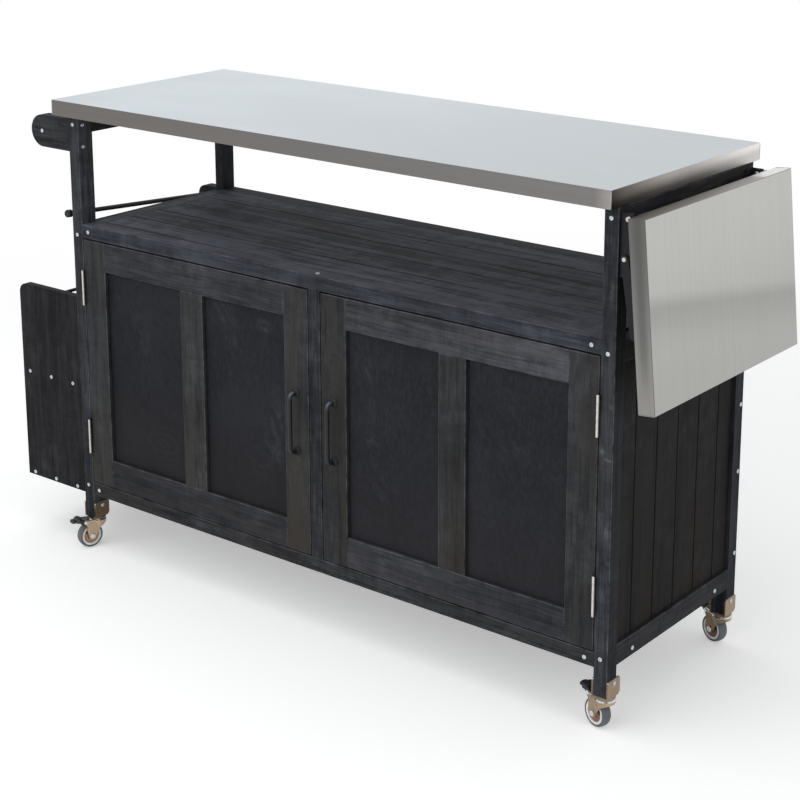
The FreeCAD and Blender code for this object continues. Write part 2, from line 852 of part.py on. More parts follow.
def caster_clamp():
    """Stirrup round the foot of the leg, with the fixed race and the kingpin."""
    half_x = timber_thin / 2 + clamp_sheet
    half_y = timber_wide / 2
    ear_top = leg_bottom + clamp_ear_height
    plate = box(-half_x, half_x, -half_y, half_y, plate_base, leg_bottom)
    ears = []
    for side in (-1, 1):
        x0, x1 = sorted((side * timber_thin / 2, side * half_x))
        ear = box(x0, x1, -half_y, half_y, plate_base, ear_top)
        corners = [
            edge for edge in ear.Edges
            if abs(edge.CenterOfMass.z - ear_top) < 0.01 and abs(edge.Length - clamp_sheet) < 0.01
        ]
        ears.append(ear.makeFillet(clamp_corner_radius, corners))
    race = upright(race_radius, race_base, plate_base)
    pin_base = fork_top - fork_sheet - race_gap - kingpin_head_height
    pin = upright(kingpin_radius, pin_base, plate_base)
    head = upright(kingpin_head_radius, pin_base, pin_base + kingpin_head_height)
    clamp = one_solid([plate] + ears + [race, pin, head])
    wedge = [Vector(-half_x, half_y, plate_base), Vector(-half_x, half_y - clamp_chamfer, plate_base)]
    wedge.append(Vector(-half_x, half_y, plate_base + clamp_chamfer))
    return clamp.cut(face_from(wedge).extrude(Vector(2 * half_x, 0, 0))).Solids[0]


def fork():
    """Stamped fork: round crown, two shaped cheeks and lugs for the brake pedal."""
    crown = upright(race_radius, fork_top - fork_sheet, fork_top)
    race_gap_below = fork_race_top - fork_top
    race = Part.makeCone(race_radius, race_radius - fork_cheek, race_gap_below, Vector(0, 0, fork_top))
    bridge_back = -caster_trail - axle_radius
    crown_base = fork_top - fork_sheet
    bridge = box(bridge_back, race_radius / 2, -cheek_outer, cheek_outer, crown_base, fork_top)
    boss = axle_radius + fork_boss_margin
    ax, az = axle_centre.x, axle_centre.z
    lug = pedal_pin_radius + fork_lug_margin
    outline = [
        (race_radius * 0.7, fork_top),
        (race_radius * 0.7, fork_top - 2 * fork_sheet),
        (race_radius / 8, fork_top - fork_throat),
        (ax + boss, az + fork_boss_margin),
        (ax + boss * 0.6, az),
        (ax - boss * 0.9, az),
        (ax - boss - fork_lug_margin, az + boss * 2),
        (pedal_pivot.x - lug * 0.7, pedal_pivot.z - lug * 0.7),
        (pedal_pivot.x + lug * 0.7, pedal_pivot.z + lug * 0.7),
        (ax - fork_boss_margin, fork_top),
    ]
    cheeks = []
    for side in (-1, 1):
        y0, y1 = sorted((side * cheek_inner, side * cheek_outer))
        sheet = prism_along_y(outline, y0, y1)
        cheeks += [sheet, across(axle_centre, y0, y1, boss), across(pedal_pivot, y0, y1, lug)]
    body = one_solid([crown, race, bridge] + cheeks)
    kingpin_hole = upright(kingpin_radius + running_clearance, 0, worktop_height)
    axle_hole = across(axle_centre, -cheek_outer, cheek_outer, axle_radius + running_clearance / 2)
    pedal_hole = across(pedal_pivot, -cheek_outer, cheek_outer, pedal_pin_radius + running_clearance / 2)
    return body.cut([kingpin_hole, axle_hole, pedal_hole]).Solids[0]


def fork_bolts():
    """Axle bolt and pedal rivet held by the cheeks."""
    end = cheek_outer + axle_head_height
    axle = one_solid([
        across(axle_centre, -end, end, axle_radius),
        across(axle_centre, -end, -cheek_outer, axle_head_radius),
        across(axle_centre, cheek_outer, end, axle_head_radius),
    ])
    rivet_end = cheek_outer + pedal_rivet_head
    rivet = one_solid([
        across(pedal_pivot, -rivet_end, rivet_end, pedal_pin_radius),
        across(pedal_pivot, -rivet_end, -cheek_outer, pedal_pin_radius + pedal_rivet_head),
        across(pedal_pivot, cheek_outer, rivet_end, pedal_pin_radius + pedal_rivet_head),
    ])
    return [axle, rivet]


def revolved(profile):
    """Turn a (radius, y) profile about the axle."""
    points = [Vector(axle_centre.x + radius, y, axle_centre.z) for radius, y in profile]
    return face_from(points).revolve(axle_centre, Vector(0, 1, 0), 360)


def tyre():
    inner = wheel_radius - tyre_wall
    half = wheel_width / 2
    cut = tyre_shoulder
    return revolved([
        (inner, -half + cut / 2), (inner + cut, -half), (wheel_radius - cut, -half),
        (wheel_radius - cut / 4, -half + cut / 2), (wheel_radius, -half + cut * 1.4),
        (wheel_radius, half - cut * 1.4), (wheel_radius - cut / 4, half - cut / 2),
        (wheel_radius - cut, half), (inner + cut, half), (inner, half - cut / 2),
    ])


def hub():
    """Wheel centre with a raised rim, a recessed web and a boss round the axle."""
    rim = wheel_radius - tyre_wall - running_clearance
    bore = axle_radius + running_clearance
    boss = wheel_width / 2 + hub_side_gap
    face = wheel_width / 2 - tyre_shoulder / 2
    web = face - hub_recess
    profile = [(bore, -boss), (hub_boss_radius, -boss), (hub_boss_radius, -web), (rim - hub_lip, -web)]
    profile += [(rim - hub_lip, -face), (rim, -face)]
    return revolved(profile + [(radius, -y) for radius, y in reversed(profile)])


def pedal():
    """Brake pedal: a hub on the rivet, a ribbed tread plate and a brake lobe."""
    px, pz = pedal_pivot.x, pedal_pivot.z
    inner = cheek_inner - fork_side_gap / 2
    barrel = across(pedal_pivot, -inner, inner, pedal_hub_radius)
    lobe_end = px - pedal_lobe_reach
    lobe_outline = [(px + pedal_pin_radius, pz - pedal_hub_radius / 2)]
    lobe_outline += [((lobe_end + px) / 2, pz - pedal_lobe_drop)]
    lobe_outline += [(lobe_end, pz - pedal_lobe_drop * 0.8), (lobe_end, pz)]
    lobe = prism_along_y(lobe_outline, -inner, inner)
    tip = px - pedal_reach
    heel = px - pedal_heel_back
    top = pz + pedal_tread_rise
    edge_top = top - pedal_tread_slope
    edge_base = edge_top - pedal_tread_edge
    bevel = tip + 2 * pedal_tread_slope
    plate = [(heel, pz + pedal_heel_rise), (bevel, top), (tip, edge_top), (tip, edge_base)]
    neck_base = [(heel, pz + pedal_pin_radius / 2), (px - pedal_pin_radius, pz - pedal_hub_radius / 2)]
    neck = prism_along_y([(px, pz + pedal_hub_radius)] + plate + neck_base, -inner, inner)
    wide = pedal_width / 2
    tread = prism_along_y(plate + [(heel, pz + pedal_pin_radius)], -wide, wide)
    corners = long_edges(tread, Vector(0, 0, 1), pedal_tread_edge)
    tread = tread.makeFillet(wide * 0.6, corners)
    body = one_solid([barrel, lobe, neck, tread])
    return body.cut(across(pedal_pivot, -inner, inner, pedal_pin_radius + running_clearance)).Solids[0]


def caster_places():
    """Name, foot of the swivel axis and yaw of each caster."""
    places = []
    for name, yaw in caster_yaw.items():
        x = leg_x if name.endswith("right") else -leg_x
        y = -leg_y if name.startswith("front") else leg_y
        places.append((name, Vector(x, y, 0), yaw))
    return places


def casters():
    nodes = {"caster_clamps": []}
    drawn = {"fork": [fork()] + fork_bolts(), "tyre": [tyre()], "hub": [hub()], "pedal": [pedal()]}
    clamp = caster_clamp()
    for name, foot, yaw in caster_places():
        fixed = clamp.copy()
        fixed.translate(foot)
        nodes["caster_clamps"].append(fixed)
        for part, solids in drawn.items():
            placed = []
            for solid in solids:
                copy = turned(solid, Vector(0, 0, 0), Vector(0, 0, 1), yaw)
                copy.translate(foot)
                placed.append(copy)
            nodes[name + "_" + part] = placed
    return nodes


# screws


def screw_head(x, y, z, normal):
    seat = Vector(x, y, z)
    return Part.makeCone(screw_head_radius, screw_head_radius * 0.7, screw_head_height, seat, normal)


def screws():
    """Pan heads seated on the faces they hold."""
    front, right = Vector(0, -1, 0), Vector(1, 0, 0)
    heads = []
    rail_end_x = post_inner_x - rail_screw_inset
    front_places = [(leg_x, post_top - timber_wide / 2), (leg_x, side_rail_top - timber_wide / 2)]
    front_places += [(leg_x, bottom_rail_base + timber_wide / 2)]
    front_places += [(rail_end_x, top - timber_thin / 2) for top in (deck_height, floor_height)]
    for x, z in front_places:
        head = screw_head(-x, -half_depth, z, front)
        heads += front_and_back(head) + front_and_back(mirrored_x(head))
    heads.append(screw_head(0, -half_depth + timber_wide / 3, deck_height, Vector(0, 0, 1)))
    for side in (-1, 1):
        z = bottom_rail_base + timber_thin / 2
        heads.append(screw_head(half_length, side * side_screw_offset, z, right))
    joints = even_joints(floor_height, deck_base, back_plank_count)
    for base, offset in zip(joints, plank_screw_offsets):
        heads.append(screw_head(half_length, half_depth - plank_screw_inset, base + offset, right))
    bracket_y = half_depth - bar_bracket_thickness / 2
    for offset in (-1, 1):
        z = towel_bar_z + offset * bar_bracket_height / 3
        heads += front_and_back(screw_head(-post_inner_x, -bracket_y, z, right))
    heads += front_and_back(screw_head(towel_bar_x, -half_depth, towel_bar_z, front))
    heads.append(screw_head(roll_end_x, half_depth, roll_end_z, Vector(0, 1, 0)))
    rack_middle = -half_length - rack_width / 2
    rack_reach = rack_width / 2 - rack_screw_inset
    for base in (bottom_rail_base, rack_middle_shelf):
        z = base + rack_shelf_thickness / 2
        for step in (-1, 0, 1):
            heads += front_and_back(screw_head(rack_middle + step * rack_reach, -half_depth, z, front))
    ear_x = timber_thin / 2 + clamp_sheet
    for name, foot, yaw in caster_places():
        for side in (-1, 1):
            z = leg_bottom + clamp_ear_height * 0.75
            heads.append(screw_head(foot.x + side * ear_x, foot.y, z, Vector(side, 0, 0)))
    return heads


def cart():
    """All nodes, each a list of solids."""
    front_posts, rear_posts = posts()
    nodes = {"front_posts": front_posts, "rear_posts": rear_posts}
    nodes.update(side_rails())
    nodes["deck_long_rails"] = long_rails(deck_base)
    nodes["bottom_long_rails"] = long_rails(bottom_rail_base)
    nodes["end_strips"] = end_strips()
    nodes["centre_post"] = centre_post()
    nodes["side_boards"] = side_boards()
    nodes["deck_planks"] = planks(deck_height)
    nodes["floor_planks"] = planks(floor_height)
    nodes["back_planks"] = back_planks()
    nodes["inner_battens"] = inner_battens()
    nodes["inner_shelf"] = inner_shelf()
    nodes.update(worktop())
    nodes["bracket_plates"] = bracket_plates()
    nodes["bracket_pins"] = bracket_pins()
    nodes.update(leaf())
    nodes["leaf_arms"] = leaf_arms()
    nodes["leaf_stays"] = stays()
    nodes["rod_brackets"] = rod_brackets()
    nodes["towel_bar"] = towel_bar()
    nodes["roll_rod"] = roll_rod()
    nodes["rod_eye"] = rod_eye()
    nodes.update(rack())
    nodes.update(doors())
    nodes["post_hinge_leaves"] = [side for leaf in hinge_leaf(True) for side in both_ends(leaf)]
    nodes["hinge_pins"] = [side for pin in hinge_pins() for side in both_ends(pin)]
    nodes["door_catches"] = door_catches()
    nodes.update(casters())
    nodes["screws"] = screws()
    return nodes


def write(nodes):
    """Centre the footprint on the origin and write one file for each node."""
    bounds = Part.makeCompound([solid for solids in nodes.values() for solid in solids]).BoundBox
    shift = Vector(-bounds.Center.x, -bounds.Center.y, 0)
    for name, solids in nodes.items():
        shape = Part.makeCompound(solids) if len(solids) > 1 else solids[0]
        shape.translate(shift)
        shape.exportStep("parts/" + name + ".step")
    print("shift %.4f %.4f" % (shift.x, shift.y))
    print("size %.2f %.2f %.2f" % (bounds.XLength, bounds.YLength, bounds.ZLength))
    print("hinge axis %.4f %.4f" % (hinge_axis_x, hinge_axis_y))
    print("leaf pivot %.4f %.4f swing %.4f" % (pivot.x, pivot.z, leaf_swing))
    print("stay pivot %.4f %.4f swing %.4f" % (stay_pivot.x, stay_pivot.z, stay_swing))


write(cart())
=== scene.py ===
"""Finish of the grill cart: folded steel, stained timber, ironmongery and a plain studio."""

import json
import math
from collections import namedtuple
from functools import cached_property

import bpy
from bpy.props import FloatProperty, FloatVectorProperty, PointerProperty
from mathutils import Matrix, Vector

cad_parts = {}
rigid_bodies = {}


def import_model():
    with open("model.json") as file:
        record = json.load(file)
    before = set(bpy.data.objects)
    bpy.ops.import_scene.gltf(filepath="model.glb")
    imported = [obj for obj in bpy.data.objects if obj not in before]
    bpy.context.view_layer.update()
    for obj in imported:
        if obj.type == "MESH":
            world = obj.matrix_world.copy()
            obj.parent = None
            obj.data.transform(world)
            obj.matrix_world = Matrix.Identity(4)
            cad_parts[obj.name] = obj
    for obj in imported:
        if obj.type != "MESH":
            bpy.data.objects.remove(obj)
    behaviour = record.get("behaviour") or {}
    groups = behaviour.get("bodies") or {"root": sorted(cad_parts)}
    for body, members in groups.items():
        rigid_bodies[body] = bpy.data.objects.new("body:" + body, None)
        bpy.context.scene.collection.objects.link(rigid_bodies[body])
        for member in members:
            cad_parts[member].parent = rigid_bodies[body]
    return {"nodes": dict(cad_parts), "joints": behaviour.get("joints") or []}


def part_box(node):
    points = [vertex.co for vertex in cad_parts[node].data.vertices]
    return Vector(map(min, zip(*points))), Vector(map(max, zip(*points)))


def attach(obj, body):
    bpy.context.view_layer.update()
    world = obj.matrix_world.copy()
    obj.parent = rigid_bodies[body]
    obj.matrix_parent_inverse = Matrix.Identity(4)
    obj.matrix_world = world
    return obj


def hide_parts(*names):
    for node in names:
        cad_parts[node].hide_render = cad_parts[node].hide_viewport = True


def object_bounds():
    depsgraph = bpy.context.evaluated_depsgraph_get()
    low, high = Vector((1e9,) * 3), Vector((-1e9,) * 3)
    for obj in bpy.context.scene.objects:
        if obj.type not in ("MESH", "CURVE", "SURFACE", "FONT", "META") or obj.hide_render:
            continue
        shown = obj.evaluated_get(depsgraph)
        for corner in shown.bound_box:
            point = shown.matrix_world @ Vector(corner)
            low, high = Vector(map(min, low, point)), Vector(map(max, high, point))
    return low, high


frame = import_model()
cad_low, cad_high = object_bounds()

bl_info = {
    "name": "Grill Cart Finish",
    "version": (1, 0, 0),
    "blender": (4, 5, 0),
    "location": "3D View > Sidebar > Grill Cart",
    "description": "Models and finishes the visible pieces of a grill cart with storage",
    "category": "Object",
}

MM = 0.001
# distances under which corners are merged, in modelled pieces and in solids that are read
WELD, MERGE = 0.000002, 0.00001
SMOOTH_ANGLE = math.radians(32)
nodes = frame["nodes"]
joints = {joint["name"]: joint for joint in frame["joints"]}


# settings that a user would change


def length(label, words, size):
    return FloatProperty(name=label, description=words, default=size, min=0.0, unit="LENGTH", precision=4)


def colour(label, words, rgb):
    return FloatVectorProperty(
        name=label, description=words, default=rgb, subtype="COLOR", size=3, min=0.0, max=1.0)


class CartSizes(bpy.types.PropertyGroup):
    sheet: length("Steel sheet", "Thickness of the folded steel", 1.0 * MM)
    fold: length("Fold radius", "Radius of the folds along the steel trays", 1.3 * MM)
    hem: length("Hem", "Width of the hem turned in under the trays", 9.0 * MM)
    leaf_length: length("Leaf length", "Length of the drop leaf from hinge to edge", 300.0 * MM)
    leaf_gap: length("Leaf gap", "Gap between the raised leaf and the worktop", 6.0 * MM)
    tray_depth: length("Tray depth", "Height of the folded lips", 30.0 * MM)
    stile: length("Stile width", "Width of door stiles and rails", 56.0 * MM)
    panel_recess: length("Panel recess", "Depth of the door panels behind the frame", 8.0 * MM)
    panel: length("Panel thickness", "Thickness of the door panels", 6.0 * MM)
    groove: length("Panel groove", "Depth of the groove that holds a panel", 8.0 * MM)
    softened: length("Softened edge", "Rounding of the door timber edges", 1.6 * MM)
    pull_spacing: length("Pull spacing", "Distance between the feet of a pull", 108.0 * MM)
    pull_reach: length("Pull reach", "How far a pull stands out from the door", 22.0 * MM)
    pull_shoulder: length("Pull shoulder", "Bending radius at both ends of a grip", 9.0 * MM)
    pull_radius: length("Pull radius", "Radius of the bar of a pull", 4.0 * MM)
    screw_radius: length("Screw head", "Radius of a pan head", 3.8 * MM)
    screw_height: length("Screw height", "Height of a pan head", 2.2 * MM)


class CartColours(bpy.types.PropertyGroup):
    timber: colour("Timber", "Black stained softwood", (0.0200, 0.0220, 0.0262))
    rail: colour("Rails", "Rails below the doors and under the worktop", (0.0225, 0.0235, 0.0262))
    # The side boards' colour is the timber stain made darker: painted shade on the closed ends.
    side: colour("Side boards", "Boards of the two closed ends", (0.0092, 0.0090, 0.0093))
    rack: colour("Rack", "Boards of the end rack", (0.0128, 0.0129, 0.0148))
    door: colour("Door frame", "Door stiles and rails", (0.0335, 0.0335, 0.0338))
    crossrail: colour("Door rails", "Stain of the level parts of the door frames", (0.0298, 0.0308, 0.0358))
    panel: colour("Door panel", "Thin panels of the doors", (0.0164, 0.0172, 0.0212))
    deck: colour("Deck", "Planks and rails of the deck", (0.0530, 0.0590, 0.0775))
    scuff: colour("Scuffs", "Pale scuffs and worn edges", (0.085, 0.090, 0.100))
    # Pale lines along rounded edges, partly scuffed stain and partly painted highlight; also the colour of the
    # real scuffs on the right front post.
    worn_and_highlit: colour("Worn edges", "Thin pale lines along rubbed edges", (0.150, 0.155, 0.165))
    # The top's cool tint and the dark warm colour of the lips are painted reflections on one brushed stainless
    # sheet.
    steel: colour("Steel", "Brushed stainless sheet", (0.588, 0.642, 0.682))
    lip_painted_reflection: colour("Steel lip", "Folded lips of the worktop", (0.180, 0.168, 0.160))
    # The leaf colour is the same stainless sheet made darker: painted reflection.
    leaf: colour("Steel leaf", "Brushed sheet of the drop leaf", (0.452, 0.451, 0.434))
    zinc: colour("Zinc", "Zinc plated steel", (0.66, 0.69, 0.71))
    # The tan of the caster plates is painted warm reflection.
    fork: colour("Caster fork", "Yellowed plated steel", (0.385, 0.292, 0.200))
    rod: colour("Black steel", "Pulls, rods and leaf brackets", (0.015, 0.0155, 0.018))
    rubber: colour("Rubber", "Tyres", (0.104, 0.113, 0.126))
    rim: colour("Wheel rim", "Pale ring of the wheels", (0.84, 0.84, 0.83))
    # The brown of the wheel discs is painted reflection.
    disc: colour("Wheel disc", "Brown plated disc inside the ring", (0.250, 0.148, 0.102))
    nylon: colour("Nylon", "Brake pedals and catches", (0.022, 0.022, 0.025))
    core: colour("Board core", "Raw board inside the trays", (0.30, 0.22, 0.15))
    floor: colour("Floor", "Pale studio floor", (0.86, 0.86, 0.86))


def sizes():
    return bpy.context.scene.cart_sizes


def colours():
    return bpy.context.scene.cart_colours


# modelling by hand: select, shape, settle


def deselect():
    if bpy.context.object and bpy.context.object.mode != "OBJECT":
        bpy.ops.object.mode_set(mode="OBJECT")
    bpy.ops.object.select_all(action="DESELECT")


def pick(piece):
    deselect()
    piece.select_set(True)
    bpy.context.view_layer.objects.active = piece
    return piece


def settle(piece):
    """Put the place, turn and scale of a piece into its mesh."""
    pick(piece)
    bpy.ops.object.transform_apply(location=True, rotation=True, scale=True)
    return piece


def block(name, low, high):
    deselect()
    low, high = Vector(low), Vector(high)
    bpy.ops.mesh.primitive_cube_add(size=1.0, location=(low + high) / 2)
    piece = bpy.context.object
    piece.name = name
    piece.scale = high - low
    return settle(piece)


def turned_to(direction):
    return Vector(direction).to_track_quat("Z", "Y").to_euler()


def drum(name, radius, depth, centre, direction, sides):
    deselect()
    turn = turned_to(direction)
    bpy.ops.mesh.primitive_cylinder_add(vertices=sides, radius=radius, depth=depth, location=centre, rotation=turn)
    piece = bpy.context.object
    piece.name = name
    return settle(piece)


def drawn(name, points, fill=True):
    """A flat outline: a circle whose corners are moved to the points."""
    deselect()
    kind = "NGON" if fill else "NOTHING"
    bpy.ops.mesh.primitive_circle_add(vertices=len(points), radius=1.0, fill_type=kind)
    piece = bpy.context.object
    piece.name = name
    for number, point in enumerate(points):
        edit(piece, "VERT", lambda vertex: vertex.index == number)
        bpy.ops.transform.translate(value=Vector(point) - piece.data.vertices[number].co)
    deselect()
    return piece


def edit(piece, kind, wanted):
    """Enter edit mode with only the wanted vertices, edges or faces selected."""
    pick(piece)
    bpy.ops.object.mode_set(mode="EDIT")
    bpy.ops.mesh.select_mode(type=kind)
    bpy.ops.mesh.select_all(action="DESELECT")
    bpy.ops.object.mode_set(mode="OBJECT")
    mesh = piece.data
    parts = {"VERT": mesh.vertices, "EDGE": mesh.edges, "FACE": mesh.polygons}[kind]
    for part in parts:
        part.select = wanted(part)
    bpy.ops.object.mode_set(mode="EDIT")


def thickened(piece, offset):
    """Pull a flat outline out into a plate."""
    edit(piece, "FACE", lambda face: True)
    bpy.ops.mesh.extrude_region_move(TRANSFORM_OT_translate={"value": Vector(offset)})
    bpy.ops.mesh.select_all(action="SELECT")
    bpy.ops.mesh.normals_make_consistent(inside=False)
    deselect()
    return piece


def lathed(name, profile, centre, direction, steps=56):
    """Turn a (radius, height) profile round a line through the centre."""
    axis = Vector(direction).normalized()
    side = axis.orthogonal().normalized()
    points = [Vector(centre) + side * radius + axis * height for radius, height in profile]
    piece = drawn(name, points, fill=False)
    edit(piece, "VERT", lambda vertex: True)
    bpy.ops.mesh.spin(steps=steps, angle=2 * math.pi, center=centre, axis=axis)
    bpy.ops.mesh.select_all(action="SELECT")
    bpy.ops.mesh.remove_doubles(threshold=WELD)
    bpy.ops.mesh.normals_make_consistent(inside=False)
    deselect()
    return piece


def in_metres(profile):
    """Points of a profile that is written in millimetres."""
    return [(radius * MM, height * MM) for radius, height in profile]


def modified(piece, kind, **settings):
    pick(piece)
    modifier = piece.modifiers.new(kind.lower(), kind)
    for key, value in settings.items():
        setattr(modifier, key, value)
    bpy.ops.object.modifier_apply(modifier=modifier.name)
    return piece


def softened(piece, width, segments=3, angle=30.0):
    limit = math.radians(angle)
    return modified(piece, "BEVEL", width=width, segments=segments, limit_method="ANGLE", angle_limit=limit)


def joined(pieces, name):
    pick(pieces[0])
    for piece in pieces[1:]:
        piece.select_set(True)
    if len(pieces) > 1:
        bpy.ops.object.join()
    piece = bpy.context.object
    piece.name = name
    piece.data.name = name
    return piece


def copied(piece, name):
    twin = piece.copy()
    twin.data = piece.data.copy()
    twin.name = name
    bpy.context.scene.collection.objects.link(twin)
    return twin


def removed(piece):
    bpy.data.objects.remove(piece, do_unlink=True)


def dressed(piece, body, slot, finish, *replaced):
    """The last step of each piece: shading, material and the body it rides on."""
    pick(piece)
    bpy.ops.object.shade_smooth_by_angle(angle=SMOOTH_ANGLE)
    modified(piece, "WEIGHTED_NORMAL", keep_sharp=True)
    piece.data.materials.clear()
    piece.data.materials.append(finish_of(finish))
    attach(piece, body)
    if replaced:
        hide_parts(*replaced)
    return piece


def solids_of(node):
    """Corners of the separate solids of a node, read from a merged copy of it."""
    twin = copied(nodes[node], node + "_copy")
    twin.parent = None
    edit(twin, "VERT", lambda vertex: True)
    bpy.ops.mesh.remove_doubles(threshold=MERGE)
    bpy.ops.mesh.separate(type="LOOSE")
    deselect()
    found = []
    for piece in [item for item in bpy.data.objects if item.name.startswith(node + "_copy")]:
        found.append([vertex.co.copy() for vertex in piece.data.vertices])
        removed(piece)
    return found


def ends(corners):
    low = Vector([min(corner[axis] for corner in corners) for axis in range(3)])
    high = Vector([max(corner[axis] for corner in corners) for axis in range(3)])
    return low, high


# shader maths written as expressions

X, Y, Z = range(3)
Axes = namedtuple("Axes", "x y z")


def maths(operation, reflected=False):
    """A method of Signal that adds one Math node."""

    def method(self, *others):
        values = (*others, self) if reflected else (self, *others)
        return self.finish.signal("ShaderNodeMath", {"operation": operation}, dict(enumerate(values)))

    return method


class Signal:
    """A number that varies over a surface. Arithmetic on it adds Math nodes."""

    def __init__(self, finish, socket):
        self.finish = finish
        self.socket = socket

    __add__ = __radd__ = maths("ADD")
    __sub__ = maths("SUBTRACT")
    __rsub__ = maths("SUBTRACT", reflected=True)
    __mul__ = __rmul__ = maths("MULTIPLY")
    __truediv__ = maths("DIVIDE")
    __pow__ = maths("POWER")
    larger = maths("MAXIMUM")
    floor = maths("FLOOR")
    sine = maths("SINE")
    sign = maths("SIGN")
    size = maths("ABSOLUTE")

    def between(self, low, high):
        """0 below low, 1 above high, smooth between them."""
        settings = {"interpolation_type": "SMOOTHSTEP"}
        return self.finish.signal("ShaderNodeMapRange", settings, {0: self, 1: low, 2: high})

    def outside(self, low, high):
        """1 below low, 0 above high, smooth between them."""
        return 1.0 - self.between(low, high)


def opaque(rgb):
    if isinstance(rgb, (bpy.types.NodeSocket, Signal)):
        return rgb
    return (*tuple(rgb)[:3], 1.0)


def toned(rgb, share, warmth=0.0):
    """A colour made lighter or darker, and a little warmer or cooler."""
    red, green, blue = rgb
    return (red * share * (1 + warmth), green * share, blue * share * (1 - warmth))


class Finish:
    """A node tree, that of a new material where none is given, and the one method that adds its nodes."""

    def __init__(self, tree=None):
        if tree is None:
            self.material = bpy.data.materials.new("finish")
            self.material.use_nodes = True
            tree = self.material.node_tree
        self.tree = tree
        tree.nodes.clear()

    def node(self, kind, settings, inputs):
        node = self.tree.nodes.new(kind)
        for key, value in settings.items():
            setattr(node, key, value)
        for key, value in inputs.items():
            source = value.socket if isinstance(value, Signal) else value
            if isinstance(source, bpy.types.NodeSocket):
                self.tree.links.new(source, node.inputs[key])
            else:
                node.inputs[key].default_value = source
        return node

    def signal(self, kind, settings, inputs):
        return Signal(self, self.node(kind, settings, inputs).outputs[0])

    @cached_property
    def vector(self):
        """Object coordinates."""
        return self.node("ShaderNodeTexCoord", {}, {}).outputs["Object"]

    @cached_property
    def place(self):
        """Object coordinates as three numbers."""
        return self.split(self.vector)

    @cached_property
    def facing(self):
        """The way that the surface faces, as three numbers."""
        return self.split(self.node("ShaderNodeTexCoord", {}, {}).outputs["Normal"])

    def split(self, vector):
        parts = self.node("ShaderNodeSeparateXYZ", {}, {0: vector}).outputs
        return Axes(*[Signal(self, part) for part in parts])

    def point(self, *numbers):
        return self.node("ShaderNodeCombineXYZ", {}, dict(enumerate(numbers))).outputs[0]

    def mapped(self, vector, **change):
        return self.node("ShaderNodeMapping", {}, {"Vector": vector, **change}).outputs[0]

    def arris(self, low, high):
        """1 along rounded edges, 0 on faces square to the axes."""
        across, along, up = [number.size() for number in self.facing]
        return across.larger(along).larger(up).outside(low, high)

    def noise(self, scale, detail=2.0, roughness=0.5, distortion=0.0, over=None):
        inputs = {"Vector": over or self.vector, "Scale": scale, "Detail": detail}
        return self.signal("ShaderNodeTexNoise", {}, {**inputs, "Roughness": roughness, "Distortion": distortion})

    def spots(self, scale, over=None):
        """Distance to the nearest of scattered points."""
        return self.signal("ShaderNodeTexVoronoi", {}, {"Vector": over or self.vector, "Scale": scale})

    def chance(self, number):
        return self.signal("ShaderNodeTexWhiteNoise", {"noise_dimensions": "1D"}, {"W": number})

    def mix(self, share, first, second, blend="MIX"):
        settings = {"data_type": "RGBA", "blend_type": blend}
        return self.node("ShaderNodeMix", settings, {0: share, 6: opaque(first), 7: opaque(second)}).outputs[2]

    def lighter(self, base, factor):
        return self.mix(1.0, base, (factor,) * 3, "MULTIPLY")

    def layers(self, base, *steps):
        """A colour with others laid over it in turn. Each step is a share and a colour,
        or a share and a factor that makes what is below it lighter or darker."""
        for share, tone in steps:
            base = self.mix(share, base, self.lighter(base, tone) if isinstance(tone, float) else tone)
        return base

    def bumped(self, height, depth):
        return self.node("ShaderNodeBump", {}, {"Strength": 1.0, "Distance": depth, "Height": height}).outputs[0]

    def direct(self):
        """1 for a ray that sees this directly, in a reflection or through glass, 0 for one that only lights."""
        path = self.node("ShaderNodeLightPath", {}, {}).outputs
        seen, mirrored, through = [
            Signal(self, path["Is %s Ray" % kind]) for kind in ("Camera", "Glossy", "Transmission")]
        return seen.larger(mirrored).larger(through)

    def surface(self, base, **inputs):
        """Join the values to a Principled shader and return the material."""
        named = {key.replace("_", " "): value for key, value in inputs.items()}
        shader = self.node("ShaderNodeBsdfPrincipled", {}, {"Base Color": opaque(base), **named})
        self.node("ShaderNodeOutputMaterial", {}, {0: shader.outputs[0]})
        return self.material


def ellipse(place, centre, reach):
    """Distance from a centre in the XZ plane, 1 on the ellipse with the given half axes."""
    across = (place.x - centre[0] * MM) / (reach[0] * MM)
    height = (place.z - centre[1] * MM) / (reach[1] * MM)
    return (across * across + height * height) ** 0.5


